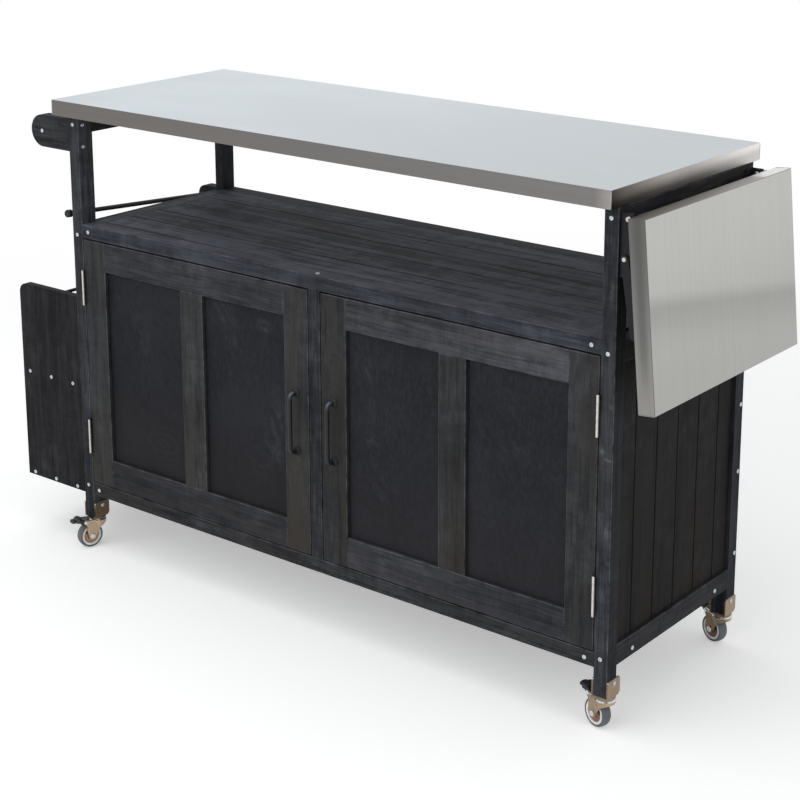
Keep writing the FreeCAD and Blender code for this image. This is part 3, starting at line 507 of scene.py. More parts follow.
def stained_timber(
        rgb, grain, boards=None, tones=(), dust_wear_and_highlight=1.0, warm=0.3, warm_below=None, joint=0.0, knots=0.4,
        depth=0.10, coarse=1.0, marks=()):
    """Softwood stained black: fibres along the grain, growth rings, saw marks, thin stain, pale edges that are
    partly scuffed stain and partly painted highlight, and knots.
    boards is (axis, start, pitch) where a node holds boards side by side, joint darkens the lines between them,
    tones holds (masks, factor) that lighten or darken a part, each mask being (place or facing, axis, low, high),
    warm_below is (low, high) between which the stain turns browner, a smaller depth gives more contrast,
    a smaller coarse a larger pattern, and marks holds (centre, half axes, strength) of pale scuffs in XZ."""
    finish = Finish()
    place = finish.place
    if boards:
        axis, start, pitch = boards
        count = (place[axis] - start) / pitch
        lot = finish.chance(count.floor() + 0.5)
        seam = (count - (count + 0.5).floor()).size() * pitch
    else:
        lot = finish.chance(place.x.sign() + place.y.sign() * 2.0 + 7.5)

    def stretched(with_grain, across_grain, offset):
        factors = [with_grain if axis == grain else across_grain for axis in range(3)]
        return finish.point(*[number * factor + lot * offset for number, factor in zip(place, factors)])

    along = stretched(0.06, 1.0, 3.7)
    fibre = finish.noise(210.0 * coarse, 4.0, 0.68, over=along)
    streak = finish.noise(62.0 * coarse, 4.0, 0.6, 0.3, along)
    growth = finish.noise(15.0 * coarse, 2.0, 0.5, 0.6, along)
    veins = (growth * 46.0).sine().size().outside(0.0, 0.34)
    saw = finish.noise(190.0, 3.0, 0.6, over=stretched(1.0, 0.12, 5.3))
    stain = finish.noise(6.0, 4.0, 0.6)
    smear = finish.noise(34.0, 4.0, 0.65)
    shade = fibre * 0.30 + streak * 0.26 + saw * 0.08 + stain * 0.20 + smear * 0.16
    brown = growth.between(0.44, 0.62) * warm + lot * 0.12
    if warm_below:
        brown = brown + place.z.outside(*warm_below) * 0.55
    spot = finish.spots(6.5, stretched(0.35, 1.0, 9.1))
    haze = stain.between(0.48, 0.64) * smear.between(0.42, 0.66) * fibre.between(0.40, 0.58)
    base = finish.layers(
        finish.mix(shade.between(0.5 - depth, 0.5 + depth), toned(rgb, 0.44, -0.03), toned(rgb, 1.72)),
        (veins * streak.between(0.35, 0.6) * 0.40, toned(rgb, 0.42)),
        (brown * streak.between(0.36, 0.56), toned(rgb, 1.12, 0.20)),
        (lot * 0.38 / coarse, 1.34),
        (spot.outside(0.05, 0.10) * knots, toned(rgb, 2.0, 0.03)),
        (spot.outside(0.015, 0.035) * knots, toned(rgb, 0.35, 0.2)),
        (haze * 0.34 * dust_wear_and_highlight, colours().scuff))
    for centre, reach, strength in marks:
        near = ellipse(place, centre, reach).outside(0.2, 1.0)
        base = finish.mix(near * smear.between(0.42, 0.60) * strength, base, colours().worn_and_highlit)
    if joint:
        base = finish.mix(seam.outside(0.0007 / coarse, 0.0019 / coarse) * joint, base, toned(rgb, 0.10))
    for *masks, factor in tones:
        where = 1.0
        for source, axis, low, high in masks:
            where = where * getattr(finish, source)[axis].between(low, high)
        base = finish.layers(base, (where, factor))
    # Pale lines along the rounded edges: partly scuffed stain, partly painted highlight where an edge would catch
    # the light.
    rubbed_and_highlit = finish.arris(0.955, 0.9995) * smear.between(0.30, 0.66)
    if boards and joint:
        rubbed_and_highlit = rubbed_and_highlit * seam.between(0.004, 0.008)
    base = finish.mix(rubbed_and_highlit * 0.46 * dust_wear_and_highlight, base, colours().worn_and_highlit)
    relief = fibre * 0.6 + streak * 0.7 - veins * 0.3 + spot.outside(0.03, 0.08) * 0.5
    return finish.surface(
        base, Roughness=0.56 + fibre * 0.12 + stain * 0.10 + haze * 0.08, Specular_IOR_Level=0.10,
        Normal=finish.bumped(relief, 0.00026))


# centre, half axes, lean of the strokes in degrees and strength of the scuffs on the door panels
SCUFFS = (
    ((-188, 540), (50, 60), -58, 0.42), ((-160, 470), (26, 60), -75, 0.30), ((-55, 345), (44, 100), -60, 0.50),
    ((-95, 300), (44, 60), -20, 0.34), ((-410, 455), (50, 80), -64, 0.26), ((-80, 545), (34, 24), -12, 0.40),
    ((152, 500), (34, 60), -70, 0.34), ((165, 380), (24, 40), -20, 0.30), ((180, 290), (60, 90), -50, 0.20),
    ((440, 470), (80, 90), -35, 0.20), ((392, 300), (30, 9), 0, 0.35),
)
FIGURE = ((-352, 262), (74, 36))

# centre, half axes and strength of the scuffs on the right front post
POST_MARKS = (
    ((644, 557), (5, 9), 0.6), ((641, 468), (12, 4), 0.6), ((630, 482), (7, 12), 0.45), ((640, 350), (8, 26), 0.4),
    ((643, 300), (6, 16), 0.35), ((632, 700), (5, 8), 0.4), ((641, 735), (6, 30), 0.3),
)


def smooth_panel(rgb):
    """Thin smooth panel: even black stain, pale scuffs, specks and one oval figure."""
    finish = Finish()
    place = finish.place
    cloud = finish.noise(5.0, 4.0, 0.6)
    mottle = finish.noise(60.0, 4.0, 0.7)
    fine = finish.noise(240.0, 3.0, 0.6, over=finish.point(place.x, place.y, place.z * 0.35))
    shade = cloud * 0.44 + mottle * 0.20 + fine * 0.36
    base = finish.layers(
        finish.mix(shade.between(0.38, 0.62), toned(rgb, 0.68, -0.03), toned(rgb, 1.36)),
        (place.z.outside(0.22, 0.46) * 0.45, toned(rgb, 1.06, 0.10)))
    base = finish.mix(place.x.between(-0.40, 0.55), finish.lighter(base, 0.88), finish.lighter(base, 1.20))
    for centre, reach, lean, strength in SCUFFS:
        near = ellipse(place, centre, reach).outside(0.25, 1.0)
        turned = finish.mapped(finish.vector, Rotation=(0.0, math.radians(lean), 0.0))
        drawn_out = finish.mapped(turned, Scale=(0.28, 1.0, 1.0))
        strokes = finish.noise(62.0, 5.0, 0.72, 0.5, drawn_out).between(0.44, 0.72)
        base = finish.mix(near * strokes * mottle.between(0.30, 0.62) * strength, base, colours().scuff)
    ring = ellipse(place, *FIGURE) + mottle * 0.10 + cloud * 0.5
    figure = ((ring * 17.0).sine() * 0.5 + 0.5) * ring.outside(0.75, 1.45)
    speck = finish.spots(46.0).outside(0.03, 0.07) * cloud.between(0.50, 0.58)
    base = finish.layers(base, (figure * 0.30, toned(rgb, 1.75, 0.05)), (speck * 0.45, colours().scuff))
    return finish.surface(
        base, Roughness=0.55 + mottle * 0.10 + fine * 0.08, Specular_IOR_Level=0.10,
        Normal=finish.bumped(mottle + fine, 0.00008))


def hair_lines(finish, tilt, standing):
    """Hair lines and wider strokes along X tilted about Y, upright where the sheet stands across them."""
    along, across, up = finish.split(finish.mapped(finish.vector, Rotation=(0.0, -tilt, 0.0)))
    drawn_out = finish.point(along * 0.012, across, up * (1.0 - standing * 0.985))
    hair, lines = finish.noise(1500.0, 3.0, 0.6, over=drawn_out), finish.noise(240.0, 3.0, 0.55, over=drawn_out)
    return hair, lines, up


def steel_surface(finish, base, hair, lines, cloud):
    """Brushed metal with the given colour."""
    lustre = finish.mix((hair * 0.4 + lines * 0.6).between(0.25, 0.75), (0.955,) * 3, (1.035,) * 3)
    return finish.surface(
        finish.mix(1.0, base, lustre, "MULTIPLY"), Metallic=1.0, Roughness=0.28 + hair * 0.08 + cloud * 0.08,
        Normal=finish.bumped(hair * 0.5 + lines * 0.6, 0.00003))


def worktop_steel(rgb, lip_painted_reflection):
    """Brushed sheet with painted reflections: pale and cool on top and darker to the right, dark and warm on the
    front and back and lightening to the right, a painted highlight at the right end of the front, and folded ends
    that brighten to the back.
    """
    finish = Finish()
    low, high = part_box("worktop_skin")
    along, back, above = [
        (number - start) / (end - start) for number, start, end in zip(finish.place, low, high)]
    ends = finish.facing.x.size().between(0.55, 0.80)
    hair, lines, _ = hair_lines(finish, 0.0, ends)
    cloud = finish.noise(2.6, 3.0, 0.5)
    # Painted reflections on the top, on the front and back, and on the ends; the last step of the front is a
    # painted highlight at its right end.
    top = finish.layers(
        toned(rgb, 1.05),
        (along.between(0.15, 1.0), toned(rgb, 0.84, 0.02)),
        (cloud.between(0.35, 0.65) * 0.5, toned(rgb, 0.92)))
    front = finish.layers(
        toned(lip_painted_reflection, 0.98, 0.02),
        (along.between(0.0, 0.6), toned(lip_painted_reflection, 1.06, -0.03)),
        (along.between(0.5, 1.0), toned(lip_painted_reflection, 1.24, -0.03)),
        (along.between(0.972, 1.0), toned(lip_painted_reflection, 1.9, -0.01)))
    end = finish.layers(
        toned(lip_painted_reflection, 0.36, 0.02),
        (back.between(0.0, 0.10), toned(lip_painted_reflection, 0.86, 0.05)),
        (back.between(0.08, 0.40), toned(lip_painted_reflection, 1.9)),
        (back.between(0.40, 1.0), toned(lip_painted_reflection, 3.5, -0.03)),
        (above.outside(0.20, 0.55) * back.outside(0.45, 0.95) * 0.8, 0.36),
        (above.between(0.45, 0.85) * back.between(0.05, 0.2) * 0.8, 1.45))
    base = finish.layers(front, (ends, end), (finish.facing.z.between(0.45, 0.80), top))
    return steel_surface(finish, base, hair, lines, cloud)


def leaf_steel(rgb, band):
    """Brushed sheet of the leaf with painted reflections: a face that darkens downwards with a soft darker band,
    darker narrow sides that lighten downwards with a dark streak, edges that lighten to the back with a painted
    highlight, and brown fold lines.
    band is (height, reach) of the darker band on the hanging leaf."""
    finish = Finish()
    place, facing = finish.place, finish.facing
    tilt = leaf_tilt()
    low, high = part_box("leaf_skin")
    down = (high.z - place.z) / (high.z - low.z)
    back = (place.y - low.y) / (high.y - low.y)
    level = facing.x * math.sin(tilt) + facing.z * math.cos(tilt)
    upright = facing.z * math.sin(tilt) - facing.x * math.cos(tilt)
    ends = upright.size().between(0.55, 0.80)
    hair, lines, up = hair_lines(finish, tilt, ends)
    pivot = Vector(joints["leaf_hinge"]["pos_m"])
    under_side = (Matrix.Rotation(-tilt, 3, "Y") @ pivot - pivot).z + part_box("worktop_skin")[0].z
    through = (up - under_side) / sizes().tray_depth
    cloud = finish.noise(2.6, 3.0, 0.5)
    height, reach = band
    under = place.z * -1.0 - place.y * 0.159 + height
    # Painted reflections on the face with its darker band, on the narrow sides with their dark streak, and on the
    # edges with a painted highlight.
    face = finish.layers(
        toned(rgb, 1.12),
        (down.between(0.05, 0.95), toned(rgb, 0.90)),
        (under.between(-0.020, 0.010) * under.outside(0.004, reach) * 0.85, toned(rgb, 0.74)))
    streak = (through - 0.52).size().outside(0.06, 0.42) * down.outside(0.62, 0.98)
    narrow = finish.layers(
        toned(rgb, 0.33),
        (down.between(0.0, 1.0), toned(rgb, 0.58, 0.01)),
        (streak * 0.55, toned(rgb, 0.20)))
    edge = finish.layers(
        toned(rgb, 0.42, 0.09),
        (back.between(0.05, 0.80), toned(rgb, 0.78, 0.02)),
        (back.between(0.78, 0.84), toned(rgb, 1.65, -0.02)))
    fold = level.size().larger(upright.size()).larger(facing.y.size()).outside(0.86, 0.985)
    base = finish.layers(
        narrow, (ends, edge), (level.between(0.45, 0.80), face), (fold * 0.85, toned(rgb, 0.24, 0.16)))
    return steel_surface(finish, base, hair, lines, cloud)


def plated_steel(rgb):
    """Bright zinc plate: faint spangle and dull patches."""
    finish = Finish()
    spangle = finish.noise(420.0, 3.0, 0.6)
    patch = finish.noise(70.0, 3.0, 0.6)
    base = finish.mix(patch.between(0.35, 0.65), toned(rgb, 0.88), toned(rgb, 1.08))
    return finish.surface(
        base, Metallic=0.95, Roughness=spangle * 0.12 + patch * 0.12 + 0.24,
        Normal=finish.bumped(spangle * 0.5 + patch, 0.00004))


def hinge_steel(rgb):
    """Plated hinge knuckles: bright along the front, with painted dark brown shade on the faces turned away from
    the front.
    """
    finish = Finish()
    patch = finish.noise(160.0, 3.0, 0.6)
    front = (finish.facing.y * -1.0).between(0.62, 0.88)
    base = finish.mix(front, toned(rgb, 0.16, 0.14), finish.mix(patch.between(0.35, 0.65), toned(rgb, 0.82), rgb))
    return finish.surface(base, Metallic=0.9, Roughness=patch * 0.2 + 0.25)


# heights over the floor of a painted highlight round the crown of a fork, and of painted shade on its rim
CROWN_BAND, CROWN_RIM = (0.0544, 0.0550), (0.0566, 0.0570)


def plate_with_painted_light(rgb, bright, inner=False):
    """Plate of the casters with painted reflections, highlights and shade: tan painted reflection on upright
    faces, lighter where they face right, bright painted reflection on top, painted shade below and on the rear
    casters' faces turned under the cart. With inner there is painted shade where it faces the middle of the cart,
    without it a painted highlight and painted shade on the rim at the crown."""
    finish = Finish()
    place, facing = finish.place, finish.facing
    patch = finish.noise(60.0, 3.0, 0.6)
    spangle = finish.noise(500.0, 3.0, 0.6)
    shaded = place.y.between(-0.05, 0.12) * (facing.y * -1.0).between(0.1, 0.8)
    if inner:
        own = [((place.x * facing.x).outside(-0.5, -0.3) * 0.8, toned(rgb, 0.36, 0.10))]
    else:
        own = [
            (place.z.between(*CROWN_BAND) * patch.between(0.30, 0.50) * 0.7, bright),
            (place.z.between(*CROWN_RIM) * facing.z.outside(0.30, 0.75) * 0.8, toned(rgb, 0.20))]
    base = finish.layers(
        finish.mix(patch.between(0.35, 0.65), toned(rgb, 0.82, 0.03), toned(rgb, 1.15)),
        (facing.x.between(-0.2, 0.9) * 0.7, toned(rgb, 1.45, 0.04)),
        (shaded * 0.75, toned(rgb, 0.34, 0.10)),
        *own,
        ((facing.z * -1.0).between(0.2, 0.8) * 0.7, toned(rgb, 0.40, 0.08)),
        (spangle.between(0.44, 0.60) * 0.6, 0.66),
        (facing.z.between(0.30, 0.75), bright))
    return finish.surface(
        base, Metallic=0.9, Roughness=spangle * 0.10 + patch * 0.12 + 0.14,
        Normal=finish.bumped(spangle * 0.3 + patch, 0.00003))


# where the painted shade and highlight of a pull change: grip and shoulder from its middle, feet from the door
PULL_GRIP, PULL_SHOULDER, PULL_FEET = (0.042, 0.050), (0.044, 0.050), (0.011, 0.007)


def coated(rgb, roughness, grain_scale, depth, sheen=0.5, above=None, below=None, pull=None):
    """Powder coat, nylon or rubber: an even colour with a fine pebbled skin, with a painted highlight colour where
    it faces up and painted shade where it faces down. pull is the box of a pull, whose grip and feet get painted
    shade and whose upper shoulder a painted highlight."""
    finish = Finish()
    place, facing = finish.place, finish.facing
    pebble = finish.noise(grain_scale, 2.0, 0.5)
    rub = finish.noise(55.0, 4.0, 0.6)
    base = finish.mix(rub.between(0.42, 0.75), rgb, toned(rgb, 1.40))
    for tone, sign in ((above, 1.0), (below, -1.0)):
        if tone:
            base = finish.mix((facing.z * sign).between(0.35, 0.85) * 0.8, base, tone)
    if pull:
        low, high = pull
        raised = place.z - (low.z + high.z) / 2
        base = finish.mix(raised.size().between(*PULL_GRIP), finish.lighter(base, 0.55), base)
        base = finish.layers(
            base,
            (raised.between(*PULL_SHOULDER), 2.2),
            (place.y.between(*[high.y - depth for depth in PULL_FEET]), 0.16))
    return finish.surface(
        base, Roughness=rub * 0.16 + pebble * 0.08 + roughness - 0.12, Specular_IOR_Level=sheen,
        Normal=finish.bumped(pebble, depth))


def raw_board(rgb):
    """Raw board core with coarse chips."""
    finish = Finish()
    chips = finish.noise(180.0, 4.0, 0.7)
    base = finish.mix(chips.between(0.35, 0.65), toned(rgb, 0.7), toned(rgb, 1.3))
    return finish.surface(base, Roughness=0.85, Normal=finish.bumped(chips, 0.0004))


finishes = {}


def finish_of(name):
    """Each finish is made once, when it is first used."""
    if name not in finishes:
        finishes[name] = FINISHES[name][0](colours())
        finishes[name].name = name
    return finishes[name]


def board_row(node, axis, count):
    """Where a row of boards starts along an axis and how wide a board is."""
    low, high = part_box(node)
    return axis, low[axis], (high[axis] - low[axis]) / count


def leaf_tilt():
    """How far the hanging leaf is turned down from level."""
    return math.radians(joints["leaf_hinge"]["range_deg"][1])


CASTER_NAMES = ("front_left", "front_right", "rear_left", "rear_right")
# faces turned up and faces turned to the right, masks used for painted light and shade
FACES_UP = ("facing", Z, 0.6, 0.9)
FACES_RIGHT = ("facing", X, 0.6, 0.9)
deck_low, deck_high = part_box("deck_planks")


def each_caster(ending):
    return [name + ending for name in CASTER_NAMES]


# each finish as the function that makes it from the colours, and the construction pieces that have it
FINISHES = {
    "upright_timber": (lambda c: stained_timber(c.timber, Z, warm=0.15), "rear_posts", "centre_post"),
    # The front posts take the timber stain made lighter as painted light; the front face of the right post gets
    # more painted light, the face of the left post turned to the middle gets painted light, and the face of the
    # right post turned to the right gets painted shade.
    "front_post_timber": (
        lambda c: stained_timber(
            toned(c.timber, 1.22), Z, dust_wear_and_highlight=1.3, warm=0.15, marks=POST_MARKS, tones=(
                (("facing", Y, -0.6, -0.9), ("place", X, 0.2, 0.4), 1.18),
                (FACES_RIGHT, ("place", X, 0.2, -0.2), 2.0),
                (FACES_RIGHT, ("place", X, -0.2, 0.2), 0.62))),
        "front_posts"),
    "long_timber": (
        lambda c: stained_timber(c.rail, X, warm=0.4, depth=0.08),
        "bottom_long_rails", "rod_brackets", "inner_shelf"),
    "cross_timber": (
        lambda c: stained_timber(c.rail, Y),
        "top_side_rails", "deck_side_rails", "bottom_side_rails", "inner_battens", "rack_shelves"),
    "rack_timber": (lambda c: stained_timber(c.rack, Z, dust_wear_and_highlight=0.7, depth=0.085), "rack_end_boards"),
    # The side boards take the darker side colour, which is painted shade.
    "side_boarding": (
        lambda c: stained_timber(
            c.side, Z, (Y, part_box("side_boards")[0].y + 0.048, 0.066), dust_wear_and_highlight=0.7, warm=0.5,
            warm_below=(0.10, 0.55), joint=1.0, knots=0.2, depth=0.075),
        "side_boards"),
    "back_boarding": (
        lambda c: stained_timber(c.timber, X, board_row("back_planks", Z, 4), joint=0.7), "back_planks"),
    "deck_boarding": (
        lambda c: stained_timber(
            c.deck, X, board_row("deck_planks", Y, 5), (
                # A painted highlight along the rear edge of the deck, and a darker strip at the left end of the
                # planks.
                (("place", Y, deck_high.y - 0.0035, deck_high.y - 0.002), 2.2),
                (("place", X, deck_low.x + 0.0050, deck_low.x + 0.0020), 0.4)),
            dust_wear_and_highlight=1.3, warm=0.10, joint=0.5, knots=1.0, depth=0.05, coarse=0.5),
        "deck_planks"),
    "floor_boarding": (
        lambda c: stained_timber(c.timber, X, board_row("floor_planks", Y, 5), joint=0.7), "floor_planks"),
    # The deck rails and end strips take the deck colour made darker, with painted light on their top faces; the
    # rear rail gets painted shade.
    "deck_rail": (
        lambda c: stained_timber(
            toned(c.deck, 0.58, 0.03), X, tones=((FACES_UP, 1.9), (("place", Y, 0.0, 0.1), 0.45)),
            dust_wear_and_highlight=1.3, warm=0.10, knots=0.8, depth=0.11, coarse=0.8),
        "deck_long_rails"),
    "deck_strip": (
        lambda c: stained_timber(toned(c.deck, 0.54, 0.03), Y, tones=((FACES_UP, 1.9),), dust_wear_and_highlight=1.3, warm=0.10),
        "end_strips"),
    "door_stile": (
        lambda c: stained_timber(
            toned(c.door, 0.99, -0.05), Z, (X, 0.0, 0.11), (
                (("place", X, -0.12, 0.05), 0.84),
                (("place", X, 0.04, 0.055), ("place", X, 0.14, 0.12), 0.84)),
            dust_wear_and_highlight=1.2, warm=0.40, warm_below=(0.12, 0.46), depth=0.135),
        "left_door_frame", "right_door_frame"),
    "door_rail": (
        lambda c: stained_timber(
            c.crossrail, X, (Z, 0.0, 0.21), (
                (("place", Z, 0.4, 0.2), ("place", X, 0.1, -0.3), 0.72),
                (("place", Z, 0.4, 0.6), ("place", X, 0.0, 0.4), 1.56)),
            dust_wear_and_highlight=1.2, warm=0.08, depth=0.125),),
    "door_panel": (lambda c: smooth_panel(c.panel), "left_door_panels", "right_door_panels"),
    "worktop_steel": (lambda c: worktop_steel(c.steel, c.lip_painted_reflection), "worktop_skin"),
    "leaf_steel": (lambda c: leaf_steel(c.leaf, (0.700, 0.085)), "leaf_skin"),
    # The corner seams take the lips' painted reflection made brighter: painted highlight.
    "seam_steel": (lambda c: plated_steel(toned(c.lip_painted_reflection, 2.4, 0.02)),),
    "zinc": (lambda c: plated_steel(c.zinc), "rod_eye"),
    "screw_zinc": (lambda c: plated_steel(toned(c.zinc, 0.98, -0.02)), "screws"),
    "rivet_zinc": (lambda c: plated_steel(toned(c.zinc, 0.85, 0.09)), "bracket_pins"),
    "hinge_zinc": (
        lambda c: hinge_steel(toned(c.zinc, 0.95, 0.10)),
        "post_hinge_leaves", "hinge_pins", "left_door_plates", "right_door_plates"),
    # The caster plates, clamps and wheel discs have painted reflections, highlights and shade.
    "caster_plate": (lambda c: plate_with_painted_light(c.fork, c.zinc), *each_caster("_fork")),
    "clamp_plate": (lambda c: plate_with_painted_light(toned(c.fork, 0.66, 0.03), c.zinc, inner=True), "caster_clamps"),
    "wheel_disc": (lambda c: plate_with_painted_light(c.disc, toned(c.disc, 1.3)), *each_caster("_hub")),
    # The pulls take a bluish painted highlight where they face up and painted brown shade where they face down.
    "black_steel": (
        lambda c: coated(
            c.rod, 0.36, 900.0, 0.00004, 0.35, (0.070, 0.080, 0.105), (0.032, 0.023, 0.015),
            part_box("left_door_handle")),
        "left_door_handle", "right_door_handle"),
    "bracket_steel": (
        lambda c: coated(c.rod, 0.46, 900.0, 0.00004, 0.15), "bracket_plates", "leaf_arms", "leaf_stays"),
    "black_rod": (
        lambda c: coated(c.rod, 0.42, 900.0, 0.00004, 0.30), "towel_bar", "roll_rod", "rack_guard_rod"),
    # The tyres are darker where they face down: painted shade.
    "rubber": (
        lambda c: coated(c.rubber, 0.52, 700.0, 0.00005, below=toned(c.rubber, 0.42)), *each_caster("_tyre")),
    "pale_rim": (lambda c: coated(c.rim, 0.42, 500.0, 0.00002),),
    "nylon": (lambda c: coated(c.nylon, 0.46, 800.0, 0.00006), "door_catches", *each_caster("_pedal")),
    "board_core": (lambda c: raw_board(c.core), "worktop_core", "leaf_core"),
}


class CART_OT_timber_finish(bpy.types.Operator):
    """Give each piece of the construction its own material"""

    bl_idname = "cart.timber_finish"
    bl_label = "Finish Construction"

    def execute(self, context):
        for finish, (maker, *names) in FINISHES.items():
            for name in names:
                materials = nodes[name].data.materials
                materials.clear()
                materials.append(finish_of(finish))
        return {"FINISHED"}


SEAM_RADIUS = 0.9 * MM
SEAM_SOFTENING = 0.4 * MM
# a seam's share of the corner's height, and of the fold radius that its middle stands in from the corner
SEAM_SHARE, SEAM_INSET = 0.90, 0.36


def steel_tray(name, low, high):
    """Sheet folded down on four sides, with a hem turned in along the bottom."""
    size = sizes()
    tray = block(name, low, high)
    edit(tray, "FACE", lambda face: face.normal.z < -0.9)
    bpy.ops.mesh.inset(thickness=size.hem, depth=0.0)
    bpy.ops.mesh.delete(type="FACE")
    deselect()
    softened(tray, size.fold, 4)
    return modified(tray, "SOLIDIFY", thickness=size.sheet, offset=-1.0, use_even_offset=True)


def corner_seams(name, low, high):
    """Thin raised weld along each folded corner."""
    seams = []
    reach = sizes().fold * SEAM_INSET
    for x in (low.x + reach, high.x - reach):
        for y in (low.y + reach, high.y - reach):
            centre = Vector((x, y, (low.z + high.z) / 2))
            seam = drum(name, SEAM_RADIUS, (high.z - low.z) * SEAM_SHARE, centre, (0, 0, 1), 12)
            seams.append(softened(seam, SEAM_SOFTENING, 2))
    return joined(seams, name)


class CART_OT_steel_trays(bpy.types.Operator):
    """Model the folded steel of the worktop and of the drop leaf"""

    bl_idname = "cart.steel_trays"
    bl_label = "Steel Trays"

    def execute(self, context):
        size = sizes()
        low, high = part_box("worktop_skin")
        near = high.x + size.leaf_gap
        leaf_low = Vector((near, low.y, high.z - size.tray_depth))
        leaf_high = Vector((near + size.leaf_length, high.y, high.z))
        pivot = Vector(joints["leaf_hinge"]["pos_m"])
        hang = Matrix.Translation(pivot) @ Matrix.Rotation(leaf_tilt(), 4, "Y") @ Matrix.Translation(-pivot)
        trays = (
            ("worktop", "cart_frame", low, high, Matrix.Identity(4), "seam_steel"),
            ("leaf", "drop_leaf", leaf_low, leaf_high, hang, "leaf_steel"),
        )
        for name, body, low, high, turn, seam_finish in trays:
            tray = steel_tray(name + "_tray", low, high)
            seams = corner_seams(name + "_corner_seams", low, high)
            for piece in (tray, seams):
                piece.matrix_world = turn
                settle(piece)
            dressed(tray, body, "stainless", name + "_steel", name + "_skin")
            dressed(seams, body, "stainless", seam_finish)
        return {"FINISHED"}


def grooved_bar(name, low, high, groove_sides):
    """Door timber with a panel groove ploughed into the given sides, as (axis, sign)."""
    size = sizes()
    bar = block(name, low, high)
    front = low[Y] + size.panel_recess
    for depth in (front, front + size.panel):
        edit(bar, "FACE", lambda face: True)
        bpy.ops.mesh.bisect(plane_co=(0, depth, 0), plane_no=(0, 1, 0))
        deselect()
    for axis, sign in groove_sides:
        middle = front + size.panel / 2

        def in_groove(face):
            return face.normal[axis] * sign > 0.9 and abs(face.center.y - middle) < size.panel / 2

        edit(bar, "FACE", in_groove)
        inwards = Vector((0, 0, 0))
        inwards[axis] = -sign * size.groove
        bpy.ops.mesh.extrude_region_move(TRANSFORM_OT_translate={"value": inwards})
        deselect()
    return softened(bar, size.softened, 3)


class CART_OT_door_frames(bpy.types.Operator):
    """Model the stiles and rails of both doors"""

    bl_idname = "cart.door_frames"
    bl_label = "Door Frames"

    def execute(self, context):
        width = sizes().stile
        for side in ("left", "right"):
            low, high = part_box(side + "_door_frame")
            middle = (low.x + high.x) / 2
            inner_left, inner_right = low.x + width, high.x - width
            inner_bottom, inner_top = low.z + width, high.z - width
            bars = {
                "stile": (
                    (low.x, low.z, inner_left, high.z, [(X, 1)]),
                    (inner_right, low.z, high.x, high.z, [(X, -1)]),
                    (middle - width / 2, inner_bottom, middle + width / 2, inner_top, [(X, 1), (X, -1)])),
                "rail": (
                    (inner_left, low.z, inner_right, inner_bottom, [(Z, 1)]),
                    (inner_left, inner_top, inner_right, high.z, [(Z, -1)])),
            }
            for kind, places in bars.items():
                pieces = [
                    grooved_bar(kind, (left, low.y, bottom), (right, high.y, top), grooves)
                    for left, bottom, right, top, grooves in places]
                piece = joined(pieces, side + "_door_" + kind + "s")
                dressed(piece, side + "_door", "black_timber", "door_" + kind, side + "_door_frame")
        return {"FINISHED"}


def grip_path(piece, centre, half, shoulder, out):
    """Draw a ring of vertices out from the door, round a shoulder, along the grip and back to the door."""
    straight = half - shoulder
    edit(piece, "VERT", lambda vertex: True)
    bpy.ops.mesh.extrude_region_move(TRANSFORM_OT_translate={"value": (0, -out, 0)})
    lower = centre + Vector((0, -out, -straight))
    bpy.ops.mesh.spin(steps=10, angle=math.pi / 2, center=lower, axis=(1, 0, 0))
    bpy.ops.mesh.extrude_region_move(TRANSFORM_OT_translate={"value": (0, 0, 2 * straight)})
    upper = centre + Vector((0, -out, straight))
    bpy.ops.mesh.spin(steps=10, angle=math.pi / 2, center=upper, axis=(1, 0, 0))
    bpy.ops.mesh.extrude_region_move(TRANSFORM_OT_translate={"value": (0, out, 0)})
    bpy.ops.mesh.select_all(action="SELECT")
    bpy.ops.mesh.remove_doubles(threshold=WELD)
    bpy.ops.mesh.normals_make_consistent(inside=False)
    deselect()


class CART_OT_door_pulls(bpy.types.Operator):
    """Model the straight pulls with rounded shoulders and flared feet"""

    bl_idname = "cart.door_pulls"
    bl_label = "Door Pulls"

    def execute(self, context):
        size = sizes()
        half, shoulder, radius = size.pull_spacing / 2, size.pull_shoulder, size.pull_radius
        out = size.pull_reach - radius - shoulder
        foot = [(0.0, 0.0), (7.8, 0.0), (8.1, 0.9), (7.7, 1.9), (6.2, 3.4), (4.8, 5.8), (4.1, 8.6), (0.0, 8.6)]
        for side in ("left", "right"):
            low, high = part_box(side + "_door_handle")
            centre = Vector(((low.x + high.x) / 2, high.y, (low.z + high.z) / 2))
            start = centre - Vector((0, 0, half))
            deselect()
            turn = turned_to((0, -1, 0))
            bpy.ops.mesh.primitive_circle_add(vertices=24, radius=radius, location=start, rotation=turn)
            grip = settle(bpy.context.object)
            grip_path(grip, centre, half, shoulder, out)
            pieces = [grip]
            for step in (-half, half):
                pieces.append(lathed("foot", in_metres(foot), centre + Vector((0, 0, step)), (0, -1, 0), 36))
            pull = joined(pieces, side + "_pull")
            dressed(pull, side + "_door", "black_steel", "black_steel", side + "_door_handle")
        return {"FINISHED"}


# how far the recess of a screw is turned from the one before, in degrees
SCREW_TURN = 37.0


